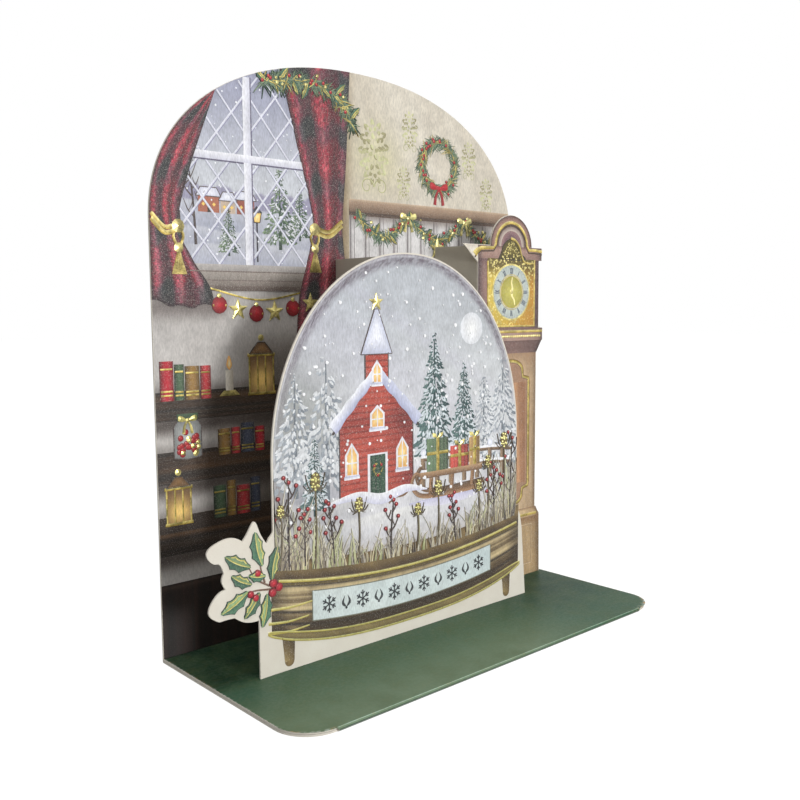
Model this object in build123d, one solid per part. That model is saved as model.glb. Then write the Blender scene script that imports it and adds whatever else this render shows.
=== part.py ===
"""Stand-up greeting card: an arched back panel folded onto a flat base, with a
die-cut globe panel and a long-case clock panel standing in front of it.

All sizes are millimetres. X runs along the fold between back and base, Y runs
away from the viewer, Z is up. The origin is the middle of the base, on the
surface that the card stands on. The pieces are drawn from the printed face of
the back panel at Y = 0, and moved by half the base depth when they are saved.
"""
from build123d import *
import math
import os

os.makedirs("parts", exist_ok=True)

# Sheet sizes
ply = 0.55                  # one thickness of card
glue_line = 0.1             # gap at the edges between the two plies of the base
glue_inset = 0.4            # how far that gap reaches in from a cut edge
card_width = 152.0
card_height = 180.0
shoulder_height = 128.0     # where the straight sides of the back turn into the arch
arch_power = 2.2            # 2 is an ellipse, more is squarer
base_depth = 69.0           # from the back panel to the folded front edge
base_corner = 11.0
fold_radius = 0.45          # outer round of the fold under the back panel

# Globe panel
globe_stand_off = 31.6      # back panel to the printed face of the globe panel
globe_centre = -7.0
globe_height = 120.0
dome_half = 51.0
dome_spring = 60.0          # the dome's sides are upright up to this height
dome_power = 2.06
neck_height = 36.0          # where the dome's straight sides meet the stand
neck_step = 0.5             # small step in where the dome meets the stand
stand_top_half = 53.0
stand_top_height = 30.4
stand_mid_half = 53.9
stand_mid_height = 26.0
foot_half = 56.0
wing_root_low = 18.0        # the leaf wing leaves the left edge here
wing_root_high = 42.5       # and joins it again here

# Strut behind the globe
strut_place = -10.5
strut_height = 119.2
strut_tab = 10.0
strut_tab_low = 4.0

# Clock panel
clock_stand_off = 17.0
clock_inset = 18.7          # right edge of the back panel to the clock's centre line
clock_left_half = 17.7      # centre line of the clock to its left edge
ear_reach = 7.8             # the pointed ear that sticks out past the left edge
ear_foot_height = 119.2
hood_top_height = 125.4
hood_arch_radius = 11.1
cornice_half = 17.4
cornice_low = 122.5
hood_half = 15.6
hood_foot_height = 96.2
waist_half = 18.0
waist_low = 91.0
trunk_half = 14.4
trunk_top_height = 86.5
trunk_foot_height = 26.8
plinth_cap_half = 16.9
plinth_cap_height = 24.4
plinth_half = 17.3

# Strut behind the clock
wall_skew = 5.0             # it meets the back panel this much further left
wall_height = 125.0
wall_tab = 9.0
wall_tab_low = 6.0

base_top = 2 * ply + glue_line
half_width = card_width / 2
clock_centre = half_width - clock_inset


def arch(half: float, spring: float, top: float, power: float, centre: float = 0.0) -> Edge:
    """Rounded top from right to left, half a superellipse that springs from upright sides."""
    rise = [0, 1.5, 4, 8, 14, 22, 32, 44, 58, 74]
    points = []
    for angle in [*rise, 90, *[180 - a for a in reversed(rise)]]:
        c, s = math.cos(math.radians(angle)), math.sin(math.radians(angle))
        x = math.copysign(abs(c) ** (2 / power), c) * half
        points.append((centre + x, spring + (top - spring) * abs(s) ** (2 / power)))
    return Spline(points)


def upright(face_y: float, lines) -> Part:
    """Cut a flat outline, given as (x, z) edges, out of card whose printed face is at -face_y."""
    wire = Wire(lines)
    sketch = Plane.XZ.offset(face_y - ply) * make_face(wire.edges())
    return extrude(sketch, amount=ply)


# Back panel and base: one sheet, folded at the back and doubled at the front edge
back_edges = [
    Line((-half_width, 0), (half_width, 0)),
    Line((half_width, 0), (half_width, shoulder_height)),
    arch(half_width, shoulder_height, card_height, arch_power),
    Line((-half_width, shoulder_height), (-half_width, 0)),
]
back_panel = upright(0.0, back_edges)

nose = base_top / 2
front_y = -(base_depth - nose)          # where the round front fold begins


def base_plan(inset: float) -> Sketch:
    """Plan of the base with its front corners cut round, drawn in from the cut edges by an inset."""
    plan = Pos(0, (ply + front_y + inset) / 2) * Rectangle(card_width - 2 * inset, ply - front_y - inset)
    front = plan.vertices().sort_by(Axis.Y)[:2]
    return fillet(front, base_corner - inset)


fold_length = card_width - 2 * base_corner
one_ply = extrude(base_plan(0.0), amount=ply)
glued = extrude(base_plan(glue_inset), amount=glue_line)
glued += Pos(0, front_y + glue_inset, glue_line / 2) * Box(
    fold_length - 2 * glue_inset, 2 * glue_inset, glue_line
)
base = one_ply + Pos(0, 0, ply + glue_line) * one_ply + Pos(0, 0, ply) * glued
front_fold = Pos(0, front_y, nose) * (Rot(0, 90, 0) * Cylinder(nose, fold_length - glue_inset))
back_card = back_panel + base + front_fold
rear_low_edge = back_card.edges().filter_by(Axis.X).filter_by(
    lambda e: abs(e.center().Z) < 1e-3 and abs(e.center().Y - ply) < 1e-3
)
back_card = fillet(rear_low_edge, fold_radius)


# Globe panel: dome, stand and leaf wing from one piece of card
def g(u: float, z: float) -> tuple[float, float]:
    """Point of the globe panel from its own centre line."""
    return (globe_centre + u, z)


wing_scale = (wing_root_high - wing_root_low) / 24.5    # the wing grows with its root


def w(u: float, z: float) -> tuple[float, float]:
    """Point of the leaf wing: outwards from the stand's left edge, upwards from its low root."""
    return g(-foot_half - u * wing_scale, wing_root_low + z * wing_scale)


wing_low = g(-foot_half, wing_root_low)
wing_high = g(-dome_half, wing_root_high)
globe_edges = [
    Line(g(-foot_half, base_top), g(foot_half, base_top)),
    Line(g(foot_half, base_top), g(stand_mid_half, stand_mid_height)),
    Line(g(stand_mid_half, stand_mid_height), g(stand_top_half, stand_top_height)),
    Line(g(stand_top_half, stand_top_height), g(dome_half - neck_step, neck_height - 2 * neck_step)),
    Line(g(dome_half - neck_step, neck_height - 2 * neck_step), g(dome_half, neck_height)),
    Line(g(dome_half, neck_height), g(dome_half, dome_spring)),
    arch(dome_half, dome_spring, globe_height, dome_power, globe_centre),
    Line(g(-dome_half, dome_spring), wing_high),
    # upper leaf, its point and the notch on each side of it
    Spline([wing_high, w(-3.4, 22.0), w(-2.7, 21.2)], tangents=((0, -1), (-1, 0.1))),
    Spline([w(-2.7, 21.2), w(-0.7, 24.6), w(1.0, 27.8), w(2.9, 25.4), w(4.8, 23.0)],
           tangents=((-0.6, 1), (-0.7, -0.7))),
    # side leaf with its blunt point
    Spline([w(4.8, 23.0), w(7.4, 24.4), w(12.6, 23.9), w(15.7, 21.4), w(13.5, 18.4), w(10.7, 15.4)],
           tangents=((-0.7, 0.6), (0.3, -1))),
    Spline([w(10.7, 15.4), w(11.4, 13.3), w(10.4, 10.9)], tangents=((-0.6, -0.9), (0.5, -1))),
    # lowest leaf
    Spline([w(10.4, 10.9), w(13.9, 8.9), w(15.4, 4.9), w(12.9, 2.7), w(7.8, 2.5)],
           tangents=((-1, -0.15), (1, -0.05))),
    Spline([w(7.8, 2.5), w(5.0, 0.7), wing_low], tangents=((0.8, -0.6), (1, 0.05))),
    Line(wing_low, g(-foot_half, base_top)),
]
globe_panel = upright(globe_stand_off, globe_edges)


# Struts: each one strip of card folded twice, glued to the back panel and behind a standing panel
def strut(front_x: float, skew: float, stand_off: float, height: float, tab: float, tab_low: float) -> Part:
    """Wall from the back panel to the rear of a panel, with a glue tab folded right at each end."""
    reach = stand_off - ply
    back_x = front_x - skew
    across = ply * math.hypot(skew, reach) / reach
    wall = Polyline(
        (back_x, 0), (back_x + across, 0), (front_x + across, -reach), (front_x, -reach), close=True
    )
    shape = Pos(0, 0, base_top) * extrude(make_face(wall.edges()), amount=height - base_top)
    flange = Box(tab, ply, height - base_top - 2 * tab_low)
    mid_z = (base_top + height) / 2
    shape += Pos(back_x + tab / 2, -ply / 2, mid_z) * flange
    shape += Pos(front_x + tab / 2, -reach + ply / 2, mid_z) * flange
    return shape


centre_strut = strut(strut_place, 0.0, globe_stand_off, strut_height, strut_tab, strut_tab_low)


# Clock panel, die-cut, with a strut along its left edge
def c(u: float, z: float) -> tuple[float, float]:
    """Point of the clock panel from its own centre line."""
    return (clock_centre + u, z)


left = -clock_left_half
clock_edges = [
    Line(c(left, base_top), c(plinth_half, base_top)),
    Line(c(plinth_half, base_top), c(plinth_cap_half, plinth_cap_height)),
    Line(c(plinth_cap_half, plinth_cap_height), c(trunk_half, trunk_foot_height)),
    Line(c(trunk_half, trunk_foot_height), c(trunk_half, trunk_top_height)),
    Spline([c(trunk_half, trunk_top_height), c(waist_half, waist_low)], tangents=((0, 1), (0.9, 0.5))),
    Line(c(waist_half, waist_low), c(waist_half, hood_foot_height - 0.8)),
    Line(c(waist_half, hood_foot_height - 0.8), c(hood_half, hood_foot_height)),
    Line(c(hood_half, hood_foot_height), c(hood_half, cornice_low - 0.8)),
    Line(c(hood_half, cornice_low - 0.8), c(cornice_half, cornice_low)),
    Line(c(cornice_half, cornice_low), c(hood_arch_radius, hood_top_height - 0.4)),
    ThreePointArc(
        c(hood_arch_radius, hood_top_height - 0.4),
        c(0, hood_top_height + hood_arch_radius),
        c(-hood_arch_radius, hood_top_height),
    ),
    Line(c(-hood_arch_radius, hood_top_height), c(left - ear_reach, hood_top_height)),
    Spline([c(left - ear_reach, hood_top_height), c(left - ear_reach * 0.56, ear_foot_height + 3.6),
            c(left, ear_foot_height)], tangents=((1, -0.35), (1, -0.9))),
    Line(c(left, ear_foot_height), c(left, base_top)),
]
clock_panel = upright(clock_stand_off, clock_edges)
clock_strut = strut(clock_centre + left, wall_skew, clock_stand_off, wall_height, wall_tab, wall_tab_low)

nodes = {
    "back_card": back_card,
    "globe_panel": globe_panel,
    "centre_strut": centre_strut,
    "clock_panel": clock_panel,
    "clock_strut": clock_strut,
}
for name, drawn in nodes.items():
    shape = Pos(0, base_depth / 2, 0) * drawn
    shape.label = name
    export_step(shape, f"parts/{name}.step")
    box = shape.bounding_box()
    print(name, "solids", len(shape.solids()), "valid", shape.is_valid, "volume", round(shape.volume, 1),
          "box", [round(v, 2) for v in (*box.min, *box.max)])
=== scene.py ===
"""Looks of a stand-up greeting card: card stock, printed faces, foil, studio and camera.

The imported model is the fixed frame. Print is built as closed plates a few hundredths of a
millimetre thick that lie on the printed faces, so that every motif is a real shape. Sizes
are millimetres in the frame's axes and turn into metres when a mesh is made. Colours are
those that an ink shows on the card, in display values from 0 to 255.
"""

import logging
import math
from dataclasses import dataclass
from enum import Enum
from typing import Callable

import bpy
import numpy as np
from mathutils import Matrix, Vector


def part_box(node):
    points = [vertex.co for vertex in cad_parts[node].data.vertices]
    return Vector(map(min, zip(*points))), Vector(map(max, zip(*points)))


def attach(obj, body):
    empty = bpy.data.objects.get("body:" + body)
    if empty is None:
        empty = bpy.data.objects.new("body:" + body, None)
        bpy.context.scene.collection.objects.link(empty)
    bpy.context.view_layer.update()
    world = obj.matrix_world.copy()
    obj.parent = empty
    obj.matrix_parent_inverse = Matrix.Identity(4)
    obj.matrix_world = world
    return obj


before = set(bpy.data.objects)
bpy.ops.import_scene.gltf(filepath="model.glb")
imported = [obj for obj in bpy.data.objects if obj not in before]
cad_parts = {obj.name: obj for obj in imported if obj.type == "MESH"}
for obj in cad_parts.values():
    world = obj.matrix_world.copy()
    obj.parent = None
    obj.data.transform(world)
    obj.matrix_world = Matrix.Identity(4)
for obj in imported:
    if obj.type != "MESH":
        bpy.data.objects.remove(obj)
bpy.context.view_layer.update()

MM = 0.001                  # metres in a millimetre
LAYER = 0.02                # one layer of print over the next
GOLDEN_STEP = 0.618034      # golden ratio less one
GOLDEN_ANGLE = 2.399963     # radians from one seed of a flower head to the next
DOME_MARGIN = 56.0          # from the dome's middle line to the globe panel's right edge
CLOCK_MARGIN = 18.0         # from the clock's middle line to the clock panel's right edge
ROOT = "root"               # the body that the whole card is
log = logging.getLogger("greeting_card")

Array = np.ndarray
Colour = Array | tuple[float, float, float]
Point = Array | tuple[float, float]
Table = tuple[tuple, ...]
Material = bpy.types.Material
Socket = bpy.types.NodeSocket
Triple = tuple[float, float, float]


def tone(red: float, green: float, blue: float) -> Array:
    """Colour that is worked with further, in display values."""
    return np.array([red, green, blue], float)


SOOT = tone(38, 32, 28)
PENCIL = tone(84, 72, 70)
BERRY = tone(168, 36, 44)
BERRY_LIGHT = tone(232, 138, 130)
PINE = tone(46, 70, 56)
PINE_LIGHT = tone(132, 152, 118)
LEAF = tone(46, 88, 68)
LEAF_LIGHT = tone(166, 186, 124)
OAK_DARK = tone(62, 47, 36)
OAK_LIGHT = tone(160, 138, 108)
SNOW = tone(234, 235, 240)
SNOW_SHADE = tone(194, 198, 216)
HAZE = tone(218, 214, 200)
# Painted shade: the right edge of each foil stroke is darker than its left edge.
GILT_SHADED_EDGE = (0.8, 0.72, 0.46)       # what the right edge of a foil stroke keeps of its gold
WOOD_SHADE = (0.9, 0.84, 0.84)      # what wood keeps of its dark tone under the part above it
# Painted shade: the base's coat is darker towards the right.
COAT_RIGHT_SHADE = (0.52, 0.7, 0.66)    # what the coat keeps of its green towards the right


def linear(display: Array) -> Array:
    """Display values as linear light: the standard curve, a power of 2.4 with a straight foot."""
    part = np.clip(display, 0, 255) / 255
    return np.where(part <= 0.04045, part / 12.92, ((part + 0.055) / 1.055) ** 2.4)


def blend(first: Colour, second: Colour, share: Array | float) -> Array:
    """First colour turning into the second one as share goes from 0 to 1."""
    share = np.clip(np.asarray(share, float), 0, 1)[..., None]
    return np.asarray(first) * (1 - share) + np.asarray(second) * share


def washed(ink: Colour, *washes: tuple[Colour, Array]) -> Array:
    """Colour with washes laid over it in turn, each a colour and how far it covers, 0 to 1."""
    for colour, share in washes:
        ink = blend(ink, colour, share)
    return ink


def ease(value: Array, low: float, high: float) -> Array:
    """Smooth step: 0 below low, 1 above high and the cubic 3t² − 2t³ between them."""
    share = np.clip((value - low) / (high - low), 0, 1)
    return share * share * (3 - 2 * share)


def bell(value: Array, middle: float, spread: float) -> Array:
    """Rounded bump: e to the minus square of the distance from the middle, in spreads."""
    return np.exp(-(((value - middle) / spread) ** 2))


def waves(value: Array, seed: int, finest: float) -> Array:
    """Irregular line between about −1 and 1: seven sines whose lengths grow evenly by ratio.

    Args:
        value: Places along the line.
        seed: Seed of the sines' starts.
        finest: Length of the shortest sine.

    Returns:
        Height of the line at each place.
    """
    rng = np.random.default_rng(seed)
    lengths = finest * 2 ** np.linspace(0, 4.5, 7)
    angle = value[..., None] * (2 * math.pi / lengths) + rng.uniform(0, 2 * math.pi, 7)
    return (np.sin(angle) * np.sqrt(lengths)).sum(-1) / np.sqrt(lengths).sum()


def curve(knots: list[Point] | Array, count: int = 24) -> Array:
    """Smooth line through knots: on each stretch the cubic whose slope at a knot is half the chord
    between that knot's two neighbours.

    Args:
        knots: Points that the line runs through.
        count: How many points to give.

    Returns:
        Points along the line, (count, 2).
    """
    knots = np.asarray(knots, float)
    reached = np.vstack([2 * knots[0] - knots[1], knots, 2 * knots[-1] - knots[-2]])
    at = np.linspace(0, len(knots) - 1, count)
    first = np.minimum(at.astype(int), len(knots) - 2)
    t = (at - first)[:, None]
    a, b, c, d = (reached[first + step] for step in range(4))
    return 0.5 * (2 * b + (c - a) * t + (2 * a - 5 * b + 4 * c - d) * t**2 + (3 * b - a - 3 * c + d) * t**3)


def line(x0: float, z0: float, x1: float, z1: float, stations: int = 2) -> Array:
    """Straight middle line from one point to another."""
    share = np.linspace(0, 1, stations)[:, None]
    return np.array([x0, z0]) * (1 - share) + np.array([x1, z1]) * share


def shares(count: int) -> Array:
    """Shares from 0 to 1 along every stroke of a set, (1, count, 1)."""
    return np.linspace(0, 1, count)[None, :, None]


def aimed(angle: Array) -> Array:
    """Unit vectors at angles in radians."""
    return np.stack([np.cos(angle), np.sin(angle)], -1)


def arc(middle: Point, radius: float, start: float = 0, end: float = 360, count: int = 40) -> Array:
    """Part of a circle between two angles in degrees."""
    return np.array(middle) + aimed(np.radians(np.linspace(start, end, count))) * radius


def turned(points: Array, angle: float) -> Array:
    """Points turned about the origin, anticlockwise, by an angle in radians."""
    c, s = math.cos(angle), math.sin(angle)
    return points @ np.array([[c, s], [-s, c]])


def grid_between(left: Array, right: Array, columns: int) -> Array:
    """Grid whose rows run straight from a left edge line to a right edge line."""
    share = np.linspace(0, 1, columns)[None, :, None]
    return left[:, None] * (1 - share) + right[:, None] * share


def grid_over(x: Array, low: Array | float, high: Array, rows: int) -> Array:
    """Grid over the places x, whose rows climb evenly from a low edge line to a high one."""
    z = low + np.linspace(0, 1, rows)[:, None] * (high - low)
    return np.stack([np.broadcast_to(x, z.shape), z], -1)


def box_grid(x0: float, x1: float, z0: float, z1: float, pitch: float = 0.6) -> Array:
    """Level grid over a rectangle, with points about a pitch apart."""
    x, z = (np.linspace(a, b, max(3, int((b - a) / pitch))) for a, b in ((x0, x1), (z0, z1)))
    return np.stack(np.meshgrid(x, z), -1)


def squares(corner: Array) -> Array:
    """Corners of a grid's squares, anticlockwise, from the table of its points' numbers, (n, 4)."""
    around = corner[:-1, :-1], corner[:-1, 1:], corner[1:, 1:], corner[1:, :-1]
    return np.stack(around, -1).reshape(-1, 4)


def placed(name: str, data: bpy.types.ID) -> bpy.types.Object:
    """New object of the scene."""
    item = bpy.data.objects.new(name, data)
    bpy.context.scene.collection.objects.link(item)
    return item


def add_piece(name: str, points: Array, faces: list, inks: Array, materials: list[Material]
              ) -> bpy.types.Object:
    """Makes one mesh of the card, which rides on the card's body.

    Args:
        name: Name of the piece.
        points: Its points in mm, (n, 3).
        faces: Corner numbers of each face.
        inks: Linear colour of each point and, in its alpha, what the material makes of it, (n, 4).
        materials: Its materials.

    Returns:
        The new object.
    """
    mesh = bpy.data.meshes.new(name)
    mesh.from_pydata(points * MM, [], faces)
    for material in materials:
        mesh.materials.append(material)
    ink = mesh.color_attributes.new(name="ink", type="FLOAT_COLOR", domain="POINT")
    ink.data.foreach_set("color", inks.astype(np.float32).ravel())
    piece = placed(name, mesh)
    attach(piece, ROOT)
    return piece


class Finish(Enum):
    """The finishes that print on one face can have, in the order of its material slots."""

    INK = 0
    FOIL = 1


@dataclass(frozen=True, kw_only=True)
class Arch:
    """Outline of a panel with upright sides and a superellipse on top: |x/half|ⁿ + |z/rise|ⁿ = 1.

    Print on the panel stops an inset short of its cut edge.
    """

    centre: float
    half: float
    low: float
    spring: float
    top: float
    power: float
    inset: float = 0.12

    @property
    def reach(self) -> float:
        """Half width of the print."""
        return self.half - self.inset

    @property
    def rise(self) -> float:
        """Height of the print above the spring line."""
        return self.top - self.inset - self.spring

    def gauge(self, points: Array) -> Array:
        """How far out points lie: 0 on the middle line's foot, 1 where print stops."""
        x, z = points[..., 0] - self.centre, np.maximum(points[..., 1] - self.spring, 0)
        return (np.abs(x / self.reach) ** self.power + (z / self.rise) ** self.power) ** (1 / self.power)

    def bulge(self, part: Array) -> Array:
        """Superellipse of size 1: one coordinate for shares of the other."""
        return (1 - np.clip(part, 0, 1) ** self.power) ** (1 / self.power)

    def height(self, x: Array) -> Array:
        """Height of the outline above each x."""
        return self.spring + self.rise * self.bulge(np.abs((x - self.centre) / self.reach))

    def side(self, z: Array, sign: int) -> Array:
        """Place across of the outline's left or right edge at each height."""
        return self.centre + sign * self.reach * self.bulge((z - self.spring) / self.rise)

    def keep(self, points: Array) -> Array:
        """Brings points outside the outline onto it, towards the middle of the spring line.

        Args:
            points: Any points on the face.

        Returns:
            Points that all lie within the outline.
        """
        shrink = 1 / np.maximum(self.gauge(points), 1)
        x, z = points[..., 0] - self.centre, points[..., 1] - self.spring
        z = np.where(z > 0, z * shrink, np.maximum(z, self.low - self.spring))
        return np.stack([x * shrink + self.centre, z + self.spring], -1)

    def columns(self, count: int) -> Array:
        """Places across the panel, crowded towards its sides as a sine does."""
        return self.centre + self.reach * np.sin(np.linspace(-1, 1, count) * math.pi / 2)

    def field(self, x: Array, rows: int, low: float) -> Array:
        """Grid that fills the outline over the places x, from a low edge up."""
        return grid_over(x, low, self.height(x), rows)

    def within(self, path: Array, low: float) -> Array:
        """Twelve points of the part of a straight path that lies inside the outline and above a height."""
        inside = path[(self.gauge(path) < 0.999) & (path[:, 1] >= low)]
        picks = np.linspace(0, len(inside) - 1, 12).round().astype(int)
        return inside[picks] if len(inside) > 24 else inside[:0]


@dataclass(frozen=True, kw_only=True)
class RoomPlan(Arch):
    """Outline of the back panel, with the heights that the parts of its print share."""

    centre: float = 0.0
    spring: float = 128.0
    power: float = 2.2
    sill: float = 115.5
    shelves: Table = ((71, 79.5), (52.5, 62), (31.5, 43))


@dataclass(frozen=True, kw_only=True)
class GlobePlan(Arch):
    """Outline of the dome, with the curved lines of the stand under it."""

    half: float = 51.0
    spring: float = 60.0
    power: float = 2.06
    inset: float = 0.5
    crown: float = 27.4

    def sag(self, middle: float, rise: float, x: Array) -> Array:
        """Height of a curved line of the stand: its middle height plus a rise that grows as x²."""
        return middle + rise * ((x - self.centre) / self.half) ** 2

    def foot(self, x: Array) -> Array:
        """Height of the stand's top edge, where the dome's picture ends."""
        return self.sag(self.crown, 4.6, x)

    def base_line(self, x: Array) -> Array:
        """Height of the stand's low edge, which is flatter in the middle than a parabola."""
        return 6.4 + 6.4 * np.abs((x - self.centre) / self.half) ** 2.6


@dataclass(kw_only=True)
class PrintedFace:
    """Part of an upright printed face, gathered as closed thin plates and made into one mesh.

    Trimmed print is kept inside the plan's outline. The plates counter starts at another number on
    each face, because it sets how high a plate's top is. Wear and reflection is how patchy the foil's
    painted reflections are, 0 to 1.
    """

    name: str
    slot: str
    plane: float
    plan: Arch | None = None
    trimmed: bool = True
    plates: int = 0
    gold: Colour = (240, 224, 146)
    # How patchy the foil's painted reflections are.
    wear_and_reflection: float = 1.0

    def __post_init__(self) -> None:
        """Starts the lists that plates are gathered in."""
        self.gold = np.array(self.gold, float)
        self.points: list[Array] = []
        self.inks: list[Array] = []
        self.faces: list[list[int]] = []
        self.finishes: list[Array] = []
        self.count = 0

    def keep(self, points: Array) -> Array:
        """Points brought inside the outline where the print is trimmed."""
        return self.plan.keep(points) if self.trimmed else points

    def heights(self, layer: float, plates: int) -> Array:
        """Tops of new plates: their layer plus a part of half a layer, a golden-ratio step from plate to
        plate, so that tops that cross never lie in one plane.

        Args:
            layer: Print layer of the plates.
            plates: How many there are.

        Returns:
            Height of each plate's top over the card.
        """
        number = self.plates + np.arange(plates)
        self.plates += plates
        return LAYER * (layer + 0.5 * (number * GOLDEN_STEP % 1))

    def gather(self, flat: Array, lift: Array, ink: Array, grain: float, faces: list[Array], finish: Finish
               ) -> None:
        """Adds solids.

        Args:
            flat: Points in the plane, (n, 2).
            lift: How far each point stands out of the face, (n,).
            ink: Display colour of each point, (n, 3).
            grain: How much the paper's grain shows through ink, 0 to 1.
            faces: Tables of the corners of faces, (m, corners), anticlockwise from outside.
            finish: Which material the faces wear.
        """
        # Foil keeps in its alpha how patchy its painted reflections are.
        grain = self.wear_and_reflection if finish is Finish.FOIL else grain
        self.points.append(np.stack([flat[:, 0], self.plane - lift, flat[:, 1]], -1))
        self.inks.append(np.concatenate([linear(ink), np.full((len(ink), 1), grain)], 1))
        for table in faces:
            self.faces.extend((table + self.count).tolist())
            self.finishes.append(np.full(len(table), finish.value))
        self.count += len(flat)

    def ribbons(self, paths: Array, widths: Array | float, ink: Colour, layer: float,
                other: Colour | None = None, grain: float = 0.4, finish: Finish = Finish.INK) -> None:
        """Strokes with a flat rectangular section, carried along their middle lines.

        Args:
            paths: Middle lines, (strokes, stations, 2) or (stations, 2).
            widths: Width at each station, broadcast to (strokes, stations).
            ink: Colour of the left edge, broadcast to (strokes, stations, 3).
            layer: Print layer that the stroke's top reaches.
            other: Colour of the right edge, the same as the left one if left out.
            grain: How much grain shows.
            finish: Ink or foil.
        """
        paths = np.asarray(paths, float)
        paths = paths[None] if paths.ndim == 2 else paths
        strokes, stations = paths.shape[:2]
        along = np.gradient(paths, axis=1)
        along /= np.linalg.norm(along, axis=2, keepdims=True) + 1e-9
        half = np.broadcast_to(np.asarray(widths, float), (strokes, stations))[..., None] / 2
        side = np.stack([-along[..., 1], along[..., 0]], -1) * half
        left, right = self.keep(paths + side), self.keep(paths - side)
        flat = np.stack([left, left, right, right], 2).reshape(-1, 2)
        lift = (np.repeat(self.heights(layer, strokes), stations)[:, None] * [0, 1, 1, 0]).ravel()
        first, second = (np.broadcast_to(colour, (strokes, stations, 3))
                         for colour in (ink, ink if other is None else other))
        colours = np.stack([first, first, second, second], 2).reshape(-1, 3)
        corner = np.arange(strokes * stations * 4).reshape(strokes, stations, 4)
        after = np.roll(corner, -1, 2)
        walls = np.stack([corner[:, :-1], after[:, :-1], after[:, 1:], corner[:, 1:]], -1).reshape(-1, 4)
        caps = np.concatenate([corner[:, 0, ::-1], corner[:, -1]])
        self.gather(flat, lift, colours, grain, [walls, caps], finish)

    def fans(self, rings: Array, hearts: Point, ink: Colour, layer: float, heart: Colour | None = None,
             crown: float = 0.0, grain: float = 0.3, finish: Finish = Finish.INK) -> None:
        """Plates whose outline can be seen whole from one inner point, with a ridge from it to each corner.

        Args:
            rings: Outlines, (plates, corners, 2) or (corners, 2).
            hearts: The inner points, (plates, 2) or (2,).
            ink: Colour of the outlines.
            layer: Print layer that the outline's top reaches.
            heart: Colour of the inner points.
            crown: How much further the inner point stands out.
            grain: How much grain shows.
            finish: Ink or foil.
        """
        rings = np.asarray(rings, float)
        rings = rings[None] if rings.ndim == 2 else rings
        plates, corners = rings.shape[:2]
        after = np.roll(rings, -1, 1)
        area = (rings[..., 0] * after[..., 1] - rings[..., 1] * after[..., 0]).sum(1)
        rings = self.keep(np.where(area[:, None, None] < 0, rings[:, ::-1], rings))
        hearts = self.keep(np.broadcast_to(np.asarray(hearts, float), (plates, 2)))
        flat = np.concatenate([rings, rings, hearts[:, None]], 1).reshape(-1, 2)
        high = self.heights(layer, plates)[:, None]
        lift = np.hstack([np.zeros((plates, corners)), np.repeat(high, corners, 1), high + crown]).ravel()
        edge = np.broadcast_to(ink, (plates, corners, 3))
        middle = edge.mean(1) if heart is None else np.broadcast_to(heart, (plates, 3))
        colours = np.concatenate([edge, edge, middle[:, None]], 1).reshape(-1, 3)
        low = np.arange(corners)
        low_next = np.roll(low, -1)
        starts = (np.arange(plates) * (2 * corners + 1))[:, None, None]
        top = np.stack([low + corners, low_next + corners, np.full(corners, 2 * corners)], -1) + starts
        walls = np.stack([low, low_next, low_next + corners, low + corners], -1) + starts
        backs = low[::-1] + starts[:, 0]
        faces = [top.reshape(-1, 3), walls.reshape(-1, 4), backs]
        self.gather(flat, lift, colours, grain, faces, finish)

    def patch(self, grid: Array, ink: Colour | Callable[[Array, Array], Array], layer: float,
              grain: float = 0.35) -> None:
        """A field of colour on a grid of points.

        Args:
            grid: Points, (rows, columns, 2).
            ink: One colour, one for each point, or what gives them for places across and heights.
            layer: Print layer that the field's top reaches.
            grain: How much grain shows.
        """
        ink = ink(grid[..., 0], grid[..., 1]) if callable(ink) else ink
        colours = np.broadcast_to(ink, grid.shape[:2] + (3,))
        middle = grid.shape[1] // 2
        right, up = grid[0, -1] - grid[0, 0], grid[-1, middle] - grid[0, middle]
        if right[0] * up[1] < right[1] * up[0]:
            grid, colours = grid[:, ::-1], colours[:, ::-1]
        rows, columns = grid.shape[:2]
        corner = np.arange(rows * columns).reshape(rows, columns)
        rim = np.concatenate([corner[0, :-1], corner[:-1, -1], corner[-1, :0:-1], corner[:0:-1, 0]])
        low = rows * columns + np.arange(len(rim))
        walls = np.stack([low, np.roll(low, -1), np.roll(rim, -1), rim], -1)
        flat, colours = self.keep(grid).reshape(-1, 2), colours.reshape(-1, 3)
        flat, colours = np.concatenate([flat, flat[rim]]), np.concatenate([colours, colours[rim]])
        lift = np.concatenate([np.repeat(self.heights(layer, 1), rows * columns), np.zeros(len(rim))])
        self.gather(flat, lift, colours, grain, [squares(corner), walls, low[None, ::-1]], Finish.INK)

    def draw(self) -> None:
        """Draws the print; each face has its own way."""
        raise NotImplementedError

    def make(self, materials: dict[Finish, Material]) -> None:
        """Draws the print and makes its mesh.

        Args:
            materials: The material for each finish.
        """
        self.draw()
        piece = add_piece(self.name, np.concatenate(self.points), self.faces, np.concatenate(self.inks),
                          [materials[finish] for finish in Finish])
        piece.data.polygons.foreach_set("material_index", np.concatenate(self.finishes).astype(np.int32))
        piece.data.update()
        triangles = sum(len(face) - 2 for face in self.faces)
        log.info("%s: %d plates, %d triangles", self.name, len(self.points), triangles)


@dataclass(frozen=True)
class FirKind:
    """How firs of one kind are drawn.

    Wide is their width as a share of their height, snowy the share of the dabs that carry snow, and
    size scales the dabs.
    """

    wide: float
    layer: int
    inks: tuple[Array, Array]
    snow: Array
    dabs: int
    snowy: float
    size: float
    tiers: int


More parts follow.
